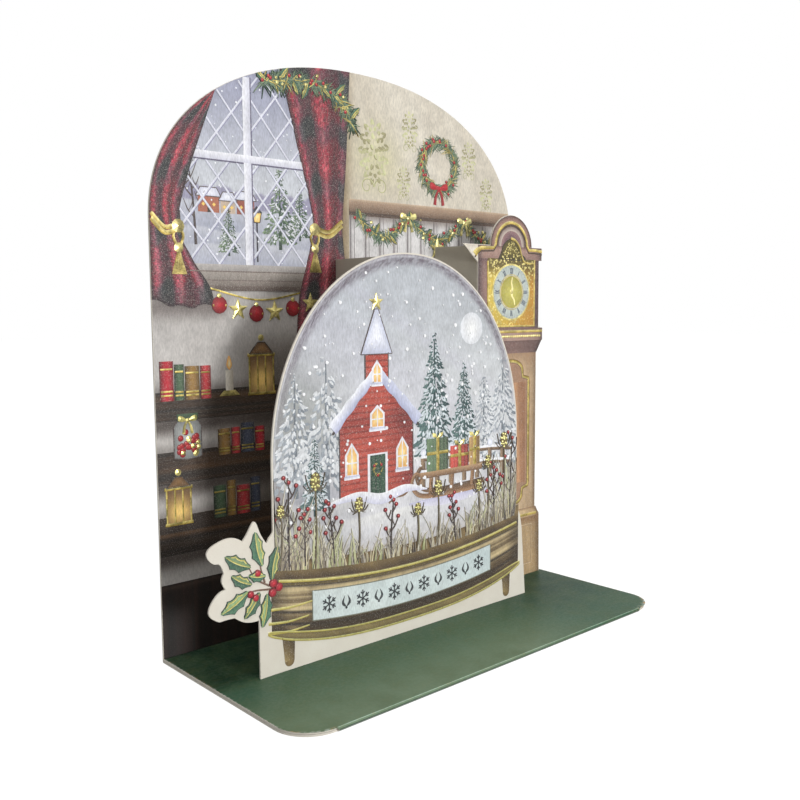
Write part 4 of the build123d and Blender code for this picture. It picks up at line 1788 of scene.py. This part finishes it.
    def plaque(self) -> None:
        """Pale plaque with a row of snow crystals and small leaf pairs."""
        x = np.linspace(-45, 30.4, 90)
        grid = grid_over(x, self.plan.sag(10.9, 4.9, x), self.plan.sag(19.9, 4.7, x), 14)
        cloudy = waves(grid[..., 0] + 2 * grid[..., 1], 181, 6)
        self.patch(grid, blend((216, 223, 220), (190, 205, 206), 0.5 + 0.4 * cloudy), 7, grain=0.35)
        self.ribbons(np.concatenate([grid[0], grid[-1, ::-1], grid[:1, 0]]), 0.3, (120, 122, 108), 8)
        widths = 0.95 * np.array([0.15, 0.5, 0.8, 0.95, 0.9, 0.75, 0.5, 0.3, 0.1])
        for number in range(11):
            place = -39 + 6.35 * number
            middle = np.array([place, self.plan.sag(15.4, 4.8, place)])
            if number % 2 == 0:
                self.flake(middle)
                continue
            for side in (-1, 1):
                leaf = curve(np.array([(0, -1.7), (side * 1.3, -0.2), (side * 0.5, 1.9)]) + middle, 9)
                self.ribbons(leaf, widths, self.pencil, 9)
            self.dots(middle - [0, 1.9], 0.4, self.pencil, 9)

    def holly(self) -> None:
        """Holly spray on the leaf wing: a stalk, leaves with gilt ribs and two groups of berries."""
        for stalk in (((-59.5, 27), (-64, 30), (-66.5, 34.5)),
                      ((-59, 26), (-65, 26.6), (-69, 25.2)),
                      ((-61, 28.2), (-62.2, 32.4), (-62.6, 37))):
            self.ribbons(curve(stalk, 14), np.linspace(0.6, 0.25, 14), (108, 82, 66), 5, grain=0.6)
        for number, (foot, tip, width) in enumerate(self.leaves):
            self.holly_leaf(foot, tip, width, 10 + 1.5 * number, 1 if number % 2 else 0.86)
        for centres, radius in ((((-58.4, 27.6), (-56.6, 26.2), (-58.7, 25)), 1.25),
                                (((-63.4, 31.4), (-65.8, 26), (-64.2, 24.7)), 1)):
            self.berries(centres, radius, 24, tone(*self.fruit))

    def draw(self) -> None:
        """Feet, wood, mouldings, plaque and holly."""
        for step in (self.feet, self.wood, self.mouldings, self.plaque, self.holly):
            step()


@dataclass(kw_only=True)
class Clock(Picture):
    """Long-case clock, with foil mouldings and a plain numbered dial.

    A row of the case gives the foot's and the top's left edge, right edge and height, the lit and the
    shaded colour, a layer, a seed and whether the grain runs upwards. A row of the arch gives the radius,
    the width, the inner and the outer colour and the layer of a band.
    """

    name: str = "clock_print"
    plates: int = 3000
    trimmed: bool = False
    gold: Colour = (250, 234, 156)
    # How patchy the painted reflections of this face's foil are.
    wear_and_reflection: float = 0.7
    centre: float
    low: float
    dial_height: float = 108.8
    dial_radius: float = 9.65
    arch_height: float = 125.2
    case: Table = (
        ((-14.6, 14.2, 24), (-14.6, 14.2, 91), (222, 196, 158), (150, 122, 92), 1, 202, True),
        ((-17.2, 16.9, 23.6), (-15.4, 14.8, 27.2), (216, 190, 148), (140, 110, 78), 2, 203, False),
        ((-14.6, 14.4, 86.4), (-17.6, 17.8, 91.4), (132, 104, 96), (74, 54, 52), 2, 204, False),
        ((-17.6, 17.8, 91), (-17.6, 17.8, 95.6), (180, 150, 136), (110, 86, 80), 3, 205, False),
        ((-17.6, 15.5, 95.4), (-17.6, 15.5, 122.8), (150, 120, 110), (84, 62, 66), 1, 206, True),
        ((-17.6, 17.1, 120.6), (-17.6, 17.1, 125.2), (172, 140, 126), (104, 78, 74), 2, 207, False))
    arch: Table = (
        (10.1, 1.9, (160, 126, 112), (98, 70, 66), 3), (7.6, 1.2, (70, 54, 40), (96, 76, 70), 3),
        (6.4, 1.5, (196, 182, 168), (132, 112, 106), 4), (4.9, 1.8, (120, 90, 94), (146, 114, 112), 4),
        (2, 4.2, (128, 98, 100), (112, 84, 88), 4))
    numerals: tuple[str, ...] = ("XII", "I", "II", "III", "IIII", "V", "VI", "VII", "VIII", "IX", "X", "XI")

    def at(self, *places: Point) -> Array:
        """Points given from the clock's centre line."""
        return np.array(places) + [self.centre, 0]

    def wood(self, low: Triple, high: Triple, light: Colour, dark: Colour, layer: int, seed: int,
             upright: bool = True) -> None:
        """Wooden part between two level edges.

        Args:
            low: Left edge, right edge and height of its foot, from the centre line.
            high: The same for its top.
            light: Colour of the lit side.
            dark: Colour of the shaded side.
            layer: Print layer.
            seed: Seed of the grain.
            upright: Whether the grain runs upwards.
        """
        rows, dark = max(8, int((high[2] - low[2]) / 0.7)), tone(*dark)
        sides = [line(self.centre + low[n], low[2], self.centre + high[n], high[2], rows) for n in (0, 1)]
        grid = grid_between(*sides, 44)
        u, z = grid[..., 0] - self.centre, grid[..., 1]
        streak = waves(u + 0.1 * z, seed, 0.8) if upright else waves(z + 0.03 * u, seed, 0.5)
        up, across = np.linspace(0, 1, rows)[:, None], np.linspace(0, 1, 44)[None, :]
        ink = washed(blend(light, dark, 0.25 + 0.3 * streak + 0.35 * ease(across, 0.55, 1)),
                     (dark * 0.7, 0.8 * bell(across, 0, 0.05) + 0.8 * bell(across, 1, 0.05)),
                     (dark * WOOD_SHADE, 0.8 * ease(up, 0.78, 1)))
        self.patch(grid, ink, layer, grain=0.6)

    def body(self) -> None:
        """Plinth, trunk, waist and hood in brown wood, and the arched top in bands of mauve."""
        self.wood((-17.4, 17.1, self.low), (-17.2, 16.8, 24.2), (200, 172, 130), (134, 106, 70), 1, 201)
        for part in self.case:
            self.wood(*part)
        for radius, width, light, dark, layer in self.arch:
            self.ribbons(arc((self.centre, self.arch_height), radius, 0, 180, 50), width, light, layer, dark,
                         grain=0.7)
        lobe = self.at((-7, 120.6), (7.2, 120.6), (5.2, 123), (4, 125.6), (2, 127.4), (0, 128),
                       (-2.2, 127.4), (-4.6, 125.4), (-5.6, 123))
        self.shape(lobe, (66, 58, 26), 6, (112, 100, 44), SOOT, smooth=True, grain=0.4)
        specks = np.random.default_rng(208).uniform((-5.6, 120.6), (5.6, 127.4), (150, 2))
        specks = specks[np.abs(specks[:, 0]) < 5.8 - 0.8 * (specks[:, 1] - 121)]
        self.gilt_dots(specks + [self.centre, 0], np.linspace(0.12, 0.32, len(specks)), 9, 0.05, 6)

    def fret(self) -> None:
        """Gold ground of the dial, with raised specks that thin out low on the right."""
        centre = self.centre
        grid = box_grid(centre - 12.6, centre + 13, 96.4, 120.8)
        share = (grid[..., 0] - centre + 12.6) / 25.6
        cloud = waves(grid[..., 0] * 1.7 + grid[..., 1], 209, 1.4)
        ink = blend((216, 190, 84), (186, 134, 46), share + 0.2 * cloud)
        self.patch(grid, blend(ink, (100, 86, 38), ease(grid[..., 1], 113, 119)), 3, grain=0.6)
        spots = np.random.default_rng(210).uniform((-12.2, 96.8), (12.6, 120.4), (520, 2))
        away = np.hypot(spots[:, 0], spots[:, 1] - self.dial_height) > self.dial_radius + 0.9
        spots = spots[away]
        calm = ease(spots[:, 0], -6, 8) * ease(114 - spots[:, 1], 0, 4)
        self.gilt_dots(spots + [centre, 0], np.linspace(0.2, 0.5, len(spots)) * (1 - 0.65 * calm), 5, 0.05, 6)

    def gilding(self) -> None:
        """Foil arches, cornice, dial panel and mouldings."""
        self.fret()
        top, eye = self.arch_height, (self.centre, self.arch_height)
        crest = np.vstack([self.at((-19.4, 122), (-18.2, 123.2), (-16.2, 124.2), (-9.6, 124.5)),
                           arc(eye, 8.6, 176, 4, 40), self.at((9.6, 124.3), (13.5, 124.3), (17.2, 124))])
        self.gilt(crest, np.concatenate([[2.2, 1.9, 1.3], np.full(len(crest) - 3, 1)]), 9)
        self.ribbons(crest - [0, 1.1], 0.5, (70, 54, 40), 7, grain=0.7)
        swoop = self.at((-0.4, 128.2), (2.2, 127.4), (4.4, 125.2), (5.4, 122.6), (7.4, 119.8), (12.6, 119.4))
        self.gilt(curve(swoop, 40), np.linspace(0.9, 0.5, 40), 10)
        self.ribbons(arc(eye, 10.95, 0, 180), 0.3, (88, 66, 60), 9, grain=0.6)
        self.shape(self.at((-17.7, 119.6), (-17.7, top), (-25, top), (-22, 122.9)), (214, 204, 186), 2,
                   (232, 226, 212))
        self.gilt(self.at((-12.6, 119.8), (-12.6, 96.4), (13, 96.4), (13, 120.8)), 0.8, 6)
        for left, right, z in ((-17.6, 17.8, 94.4), (-15.4, 15.2, 24.6)):
            self.gilt(line(self.centre + left, z, self.centre + right, z, 8), 0.9, 6)
        beads = np.arange(-17, 17.4, 1.15)
        self.gilt_dots(np.stack([beads + self.centre, np.full(len(beads), 92.6)], -1), 0.5, 6, 0.15, 8)

    def hours(self, middle: Array) -> None:
        """Roman numerals round the dial, each letter made of upright and slanting strokes.

        Args:
            middle: Middle of the dial.
        """
        shapes = {"I": [((0, -1), (0, 1))], "V": [((-0.55, 1), (0, -1)), ((0, -1), (0.55, 1))],
                  "X": [((-0.55, 1), (0.55, -1)), ((0.55, 1), (-0.55, -1))]}
        strokes: list[Array] = []
        for hour, numeral in enumerate(self.numerals):
            widths = [0.62 if letter == "I" else 1.2 for letter in numeral]
            for letter, width, run in zip(numeral, widths, np.cumsum(widths)):
                shift = 0.72 * (run - width / 2 - sum(widths) / 2)
                for stroke in shapes[letter]:
                    points = np.array(stroke) * [0.62, 1.05] + [shift, self.dial_radius - 1.95]
                    strokes.append(turned(points, -hour * math.pi / 6) + middle)
        self.ribbons(np.array(strokes), 0.26, (78, 88, 104), 10, grain=0.6)

    def dial(self) -> None:
        """Chapter ring with its numerals and minute dots, a gilt centre and two curved hands."""
        middle, radius = self.at((0, self.dial_height))[0], self.dial_radius
        self.gilt_dots(middle, radius + 0.7, 6, 0, 64)
        self.dots(middle, radius, (184, 193, 187), 8, (208, 214, 208), corners=64, grain=0.5)
        self.hours(middle)
        self.dots(arc(middle, radius - 0.45, 0, 354), 0.13, (70, 76, 90), 10, corners=5)
        self.dots(middle, 5.8, (164, 156, 70), 10, (206, 198, 104), corners=48, grain=0.7)
        for reach in (5.8, 6.35):
            self.gilt(arc(middle, reach, count=60), 0.24, 12)
        for angle, reach in ((-4, 5.4), (-160, 4.9)):
            hand = curve([(0, -0.9), (0.3, reach * 0.3), (-0.3, reach * 0.62), (0, reach)], 16)
            hand = turned(hand, math.radians(angle)) + middle
            self.ribbons(hand, np.linspace(1.1, 0.45, 16), (255, 244, 176), 14, grain=0)
        self.gilt_dots(middle, 0.7, 15)

    def door(self) -> None:
        """Trunk door, a sunk arched panel inside a gold line, and the plinth's panel."""
        head = [0, 80] + arc((0, 0), 1, 0, 180, 20) * [6.4, 3.6]
        side = np.array([[10, 76], [10, 76.8], [6.8, 77.6]])
        head = np.vstack([side, head, side[::-1] * [-1, 1]])
        shape = np.vstack([head, head * -1 + [0, 113]]) + [self.centre, 0]
        self.shape(shape, (160, 124, 98), 3, (178, 142, 112), grain=0.7)
        grid = box_grid(self.centre - 8.4, self.centre + 8.4, 37.5, 75.5)
        streak = waves(grid[..., 0] + 0.05 * grid[..., 1], 211, 0.7)
        self.patch(grid, blend((200, 152, 112), (132, 92, 66), 0.42 + 0.6 * streak), 4, grain=0.7)
        edge = np.vstack([shape, shape[:1]])
        self.ribbons(edge, 1.5, (112, 84, 58), 5, grain=0.7)
        self.gilt(edge, 1, 6)
        self.gilt_dots(self.at((-7.6, 54)), 0.6, 7)
        box = self.at((-12.6, 5.5), (12.4, 5.5), (12.4, 20.5), (-12.6, 20.5), (-12.6, 5.5))
        self.ribbons(box, 0.7, (150, 122, 92), 3, (206, 182, 144), grain=0.6)

    def draw(self) -> None:
        """Case, gilding, dial and door."""
        for step in (self.body, self.gilding, self.dial, self.door):
            step()


@dataclass
class BaseCoat:
    """Green coat of the base: the top with its front corners cut round, and the skin over the front fold."""

    half: float
    back: float
    front: float
    top: float
    corner: float = 11.0
    lift: float = 0.03
    wall: float = 0.02

    def skin(self) -> tuple[Array, Array]:
        """Grid of the coat, from the back over the fold, and the edge of its plan.

        The front edge at x is the plan's edge: level between the corners, and at a corner the
        circle of its radius. Where the edge is the straight fold, the rows go on round a half
        circle of the base's thickness; elsewhere they stay at the edge.

        Returns:
            Points, (rows, columns, 3), and how far forward the plan reaches at each column.
        """
        x = (self.half - 0.1) * np.sin(np.linspace(-1, 1, 200) * math.pi / 2)
        over = np.clip((np.abs(x) - (self.half - self.corner)) / self.corner, 0, 1)
        edge = self.front + self.corner * (1 - np.sqrt(1 - over**2)) + 0.1
        nose, folded, level = self.top / 2, over <= 0, self.top + self.lift
        end, down = np.where(folded, self.front + nose, edge), np.linspace(0, 1, 60)[:, None]
        flat = self.back + (end - self.back) * down
        angle, reach = np.linspace(0, math.pi * 0.86, 17)[1:, None], nose + self.lift
        y = np.concatenate([flat, np.where(folded, self.front + nose - reach * np.sin(angle), edge)])
        z = np.concatenate([np.full_like(flat, level), np.where(folded, nose + reach * np.cos(angle), level)])
        return np.stack([np.broadcast_to(x, y.shape), y, z], -1), edge

    def ink(self, points: Array, edge: Array) -> Array:
        """Colours of the coat with painted light and shade over its green, pale where it is worn, with how
        scuffed it is as alpha.

        Args:
            points: Its grid.
            edge: The plan's edge at each column.

        Returns:
            Linear colour and wear of each point, (rows, columns, 4).
        """
        x, y, z = np.moveaxis(points, -1, 0)
        nose = self.top / 2
        inward = np.minimum(self.half - np.abs(x), y - edge)
        cut = np.abs(x[0]) > self.half - self.corner
        crest = bell(y, self.front + 0.6 * nose, 0.09) * (z > nose)
        rubbed = 1.4 * bell(np.hypot(np.abs(x) - self.half + 5, y - self.front - 4), 0, 6) * (x > 0)
        # Painted light: lighter and greyer towards the front, a painted sheen, and darker towards the back,
        # painted shade.
        green = blend((112, 132, 106), (60, 90, 70), ease(y, -32, 6))
        # Painted shadow of the panels over the back of the base, deepest on the left.
        green = blend(green, (24, 50, 34), ease(y, 0, 9) * ease(60 - x, 0, 40))
        # Painted shade: darker towards the right.
        green = washed(green, (green * COAT_RIGHT_SHADE, ease(x, 6, 56)),
                       # Painted shade on the lower face of the front fold.
                       ((58, 76, 66), 0.9 * ease(self.top * 0.75 - z, 0, 0.3)),
                       ((176, 180, 168), 0.8 * bell(z, 0.36, 0.12) * ~np.isclose(z, self.top + self.lift)),
                       ((196, 228, 208), 0.85 * crest))
        wear_and_reflection = np.maximum(0.7 * bell(np.maximum(inward, 0), 0, 0.3) * cut + 0.03, 0.4 * crest)
        wear_and_reflection = np.maximum(wear_and_reflection, rubbed * bell(inward, 0, 1))
        return np.concatenate([linear(green), wear_and_reflection[..., None]], -1)

    def make(self, material: Material) -> None:
        """Builds the coat as a sheet with a real thickness, closed by Solidify.

        Args:
            material: Its material.
        """
        points, edge = self.skin()
        corner = np.arange(points[..., 0].size).reshape(points.shape[:2])
        quads = squares(corner)[:, [0, 3, 2, 1]]
        piece = add_piece("base_coat", points.reshape(-1, 3), quads.tolist(), self.ink(points, edge),
                          [material])
        piece.data.polygons.foreach_set("use_smooth", np.ones(len(quads), bool))
        wall = piece.modifiers.new("thickness", "SOLIDIFY")
        wall.thickness, wall.offset = self.wall * MM, -1
        log.info("base_coat: %d faces", len(quads))


@dataclass(frozen=True)
class Viewpoint:
    """The photograph's camera: its place in mm, its turn in radians and its lens for a 36 mm sensor."""

    place: Triple = (-193.903, -201.791, 103.003)
    yaw: float = 0.73027
    pitch: float = 0.10109
    roll: float = -0.00618
    lens: float = 40.463

    def make(self) -> None:
        """Builds the camera: it looks along the yaw, measured from +Y towards +X, and down by the pitch."""
        turn = (Matrix.Rotation(-self.yaw, 4, "Z") @ Matrix.Rotation(math.pi / 2 - self.pitch, 4, "X")
                @ Matrix.Rotation(self.roll, 4, "Z"))
        data = bpy.data.cameras.new("camera")
        data.lens, data.sensor_width = self.lens, 36
        data.clip_start, data.clip_end = 0.01, 20
        camera = placed("camera", data)
        camera.matrix_world = Matrix.Translation(Vector(self.place) * MM) @ turn
        bpy.context.scene.camera = camera


@dataclass(frozen=True)
class Lamp:
    """One soft box: where it stands and what it aims at, in metres, its size and its power."""

    name: str
    place: Triple
    aim: Triple
    size: float
    watts: float

    def make(self) -> None:
        """Builds the light."""
        data = bpy.data.lights.new(self.name, "AREA")
        data.shape, data.size, data.energy = "SQUARE", self.size, self.watts
        lamp = placed(self.name, data)
        lamp.location = self.place
        lamp.rotation_mode = "QUATERNION"
        lamp.rotation_quaternion = (Vector(self.aim) - Vector(self.place)).to_track_quat("-Z", "Y")


@dataclass(frozen=True)
class Studio:
    """Pale floor, plain world and soft boxes."""

    sky: float = 0.36
    floor_half: float = 3.0
    floor_glow: float = 1.36
    floor_share: float = 0.7
    lamps: tuple[Lamp, ...] = (Lamp("key", (0.12, -1.2, 0.21), (0, 0, 0.09), 0.26, 8.8),
                               Lamp("above", (-0.15, -0.35, 1.3), (0, 0, 0), 1, 6.5))

    def world(self) -> None:
        """Even grey light, seen as white by the camera and in reflections."""
        world = bpy.data.worlds.new("studio")
        bpy.context.scene.world = world
        nodes = Nodes(world)
        light = nodes.tree.nodes["Background"]
        nodes.join((0.97, 0.98, 1, 1), light.inputs["Color"])
        nodes.join(self.sky, light.inputs["Strength"])
        path = nodes.put("LightPath", "Is Camera Ray", {}).node.outputs
        either = nodes.math("MAXIMUM", path["Is Camera Ray"], path["Is Glossy Ray"])
        shown = nodes.put("Background", 0, {"Color": (1, 1, 1, 1)})
        nodes.join(nodes.put("MixShader", 0, {0: either, 1: light.outputs[0], 2: shown}),
                   nodes.tree.nodes["World Output"].inputs["Surface"])

    def floor(self) -> None:
        """Wide white floor: it takes the shadow and shows white to the camera."""
        half = self.floor_half
        mesh = bpy.data.meshes.new("floor")
        square = [(-half, -half, 0), (half, -half, 0), (half, half, 0), (-half, half, 0)]
        mesh.from_pydata(square, [], [range(4)])
        nodes = Nodes(bpy.data.materials.new("floor_paper"))
        paper = nodes.tree.nodes["Principled BSDF"]
        nodes.join(0.9, paper.inputs["Roughness"])
        nodes.join((0.5, 0.5, 0.5, 1), paper.inputs["Base Color"])
        glow = nodes.put("Emission", 0, {"Strength": self.floor_glow})
        share = nodes.math("MULTIPLY", nodes.put("LightPath", "Is Camera Ray", {}), self.floor_share)
        nodes.join(nodes.put("MixShader", 0, {0: share, 1: paper.outputs[0], 2: glow}),
                   nodes.tree.nodes["Material Output"].inputs["Surface"])
        mesh.materials.append(nodes.owner)
        floor = placed("floor", mesh)

    def make(self) -> None:
        """Builds the studio."""
        self.world()
        self.floor()
        for lamp in self.lamps:
            lamp.make()


def corners(node: str) -> tuple[Array, Array]:
    """Lowest and highest corner of a CAD node, in mm."""
    low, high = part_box(node)
    return np.array(low) / MM, np.array(high) / MM


def dress_card() -> None:
    """Gives the card pieces their board, and the struts a darker board with painted shade."""
    board = CardStock("card_board", (225, 219, 206), (212, 203, 188)).material()
    # Painted shade: the struts are the same card, made darker for the shade they stand in.
    strut = CardStock("strut_board_painted_shade", (174, 167, 152), (154, 146, 130)).material()
    for name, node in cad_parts.items():
        node.data.materials.clear()
        node.data.materials.append(strut if "strut" in name else board)


def main() -> None:
    """Builds the look in order: camera, card, print, coat and studio."""
    logging.basicConfig(level=logging.INFO, format="%(name)s %(message)s")
    bpy.context.scene.view_settings.view_transform = "Standard"
    Viewpoint().make()
    dress_card()
    (back_low, back_high), (globe_low, globe_high) = corners("back_card"), corners("globe_panel")
    clock_low, clock_high = corners("clock_panel")
    wall = back_high[1] - (globe_high[1] - globe_low[1])
    materials = {Finish.INK: PrintInk().material(), Finish.FOIL: GoldFoil().material()}
    room = RoomPlan(half=back_high[0], low=globe_low[2], top=back_high[2])
    for kind in (Wall, Window, Drapes, Greenery, Shelves):
        kind(slot="back_card", plane=wall, plan=room).make(materials)
    globe = GlobePlan(centre=globe_high[0] - DOME_MARGIN, low=globe_low[2], top=globe_high[2])
    for kind in (Dome, Meadow, Stand):
        kind(slot="globe_panel", plane=globe_low[1], plan=globe).make(materials)
    clock = Clock(slot="clock_panel", plane=clock_low[1], centre=clock_high[0] - CLOCK_MARGIN,
                  low=clock_low[2])
    clock.make(materials)
    BaseCoat(back_high[0], wall, back_low[1], globe_low[2]).make(SatinCoat().material())
    Studio().make()


if __name__ == "__main__":
    main()
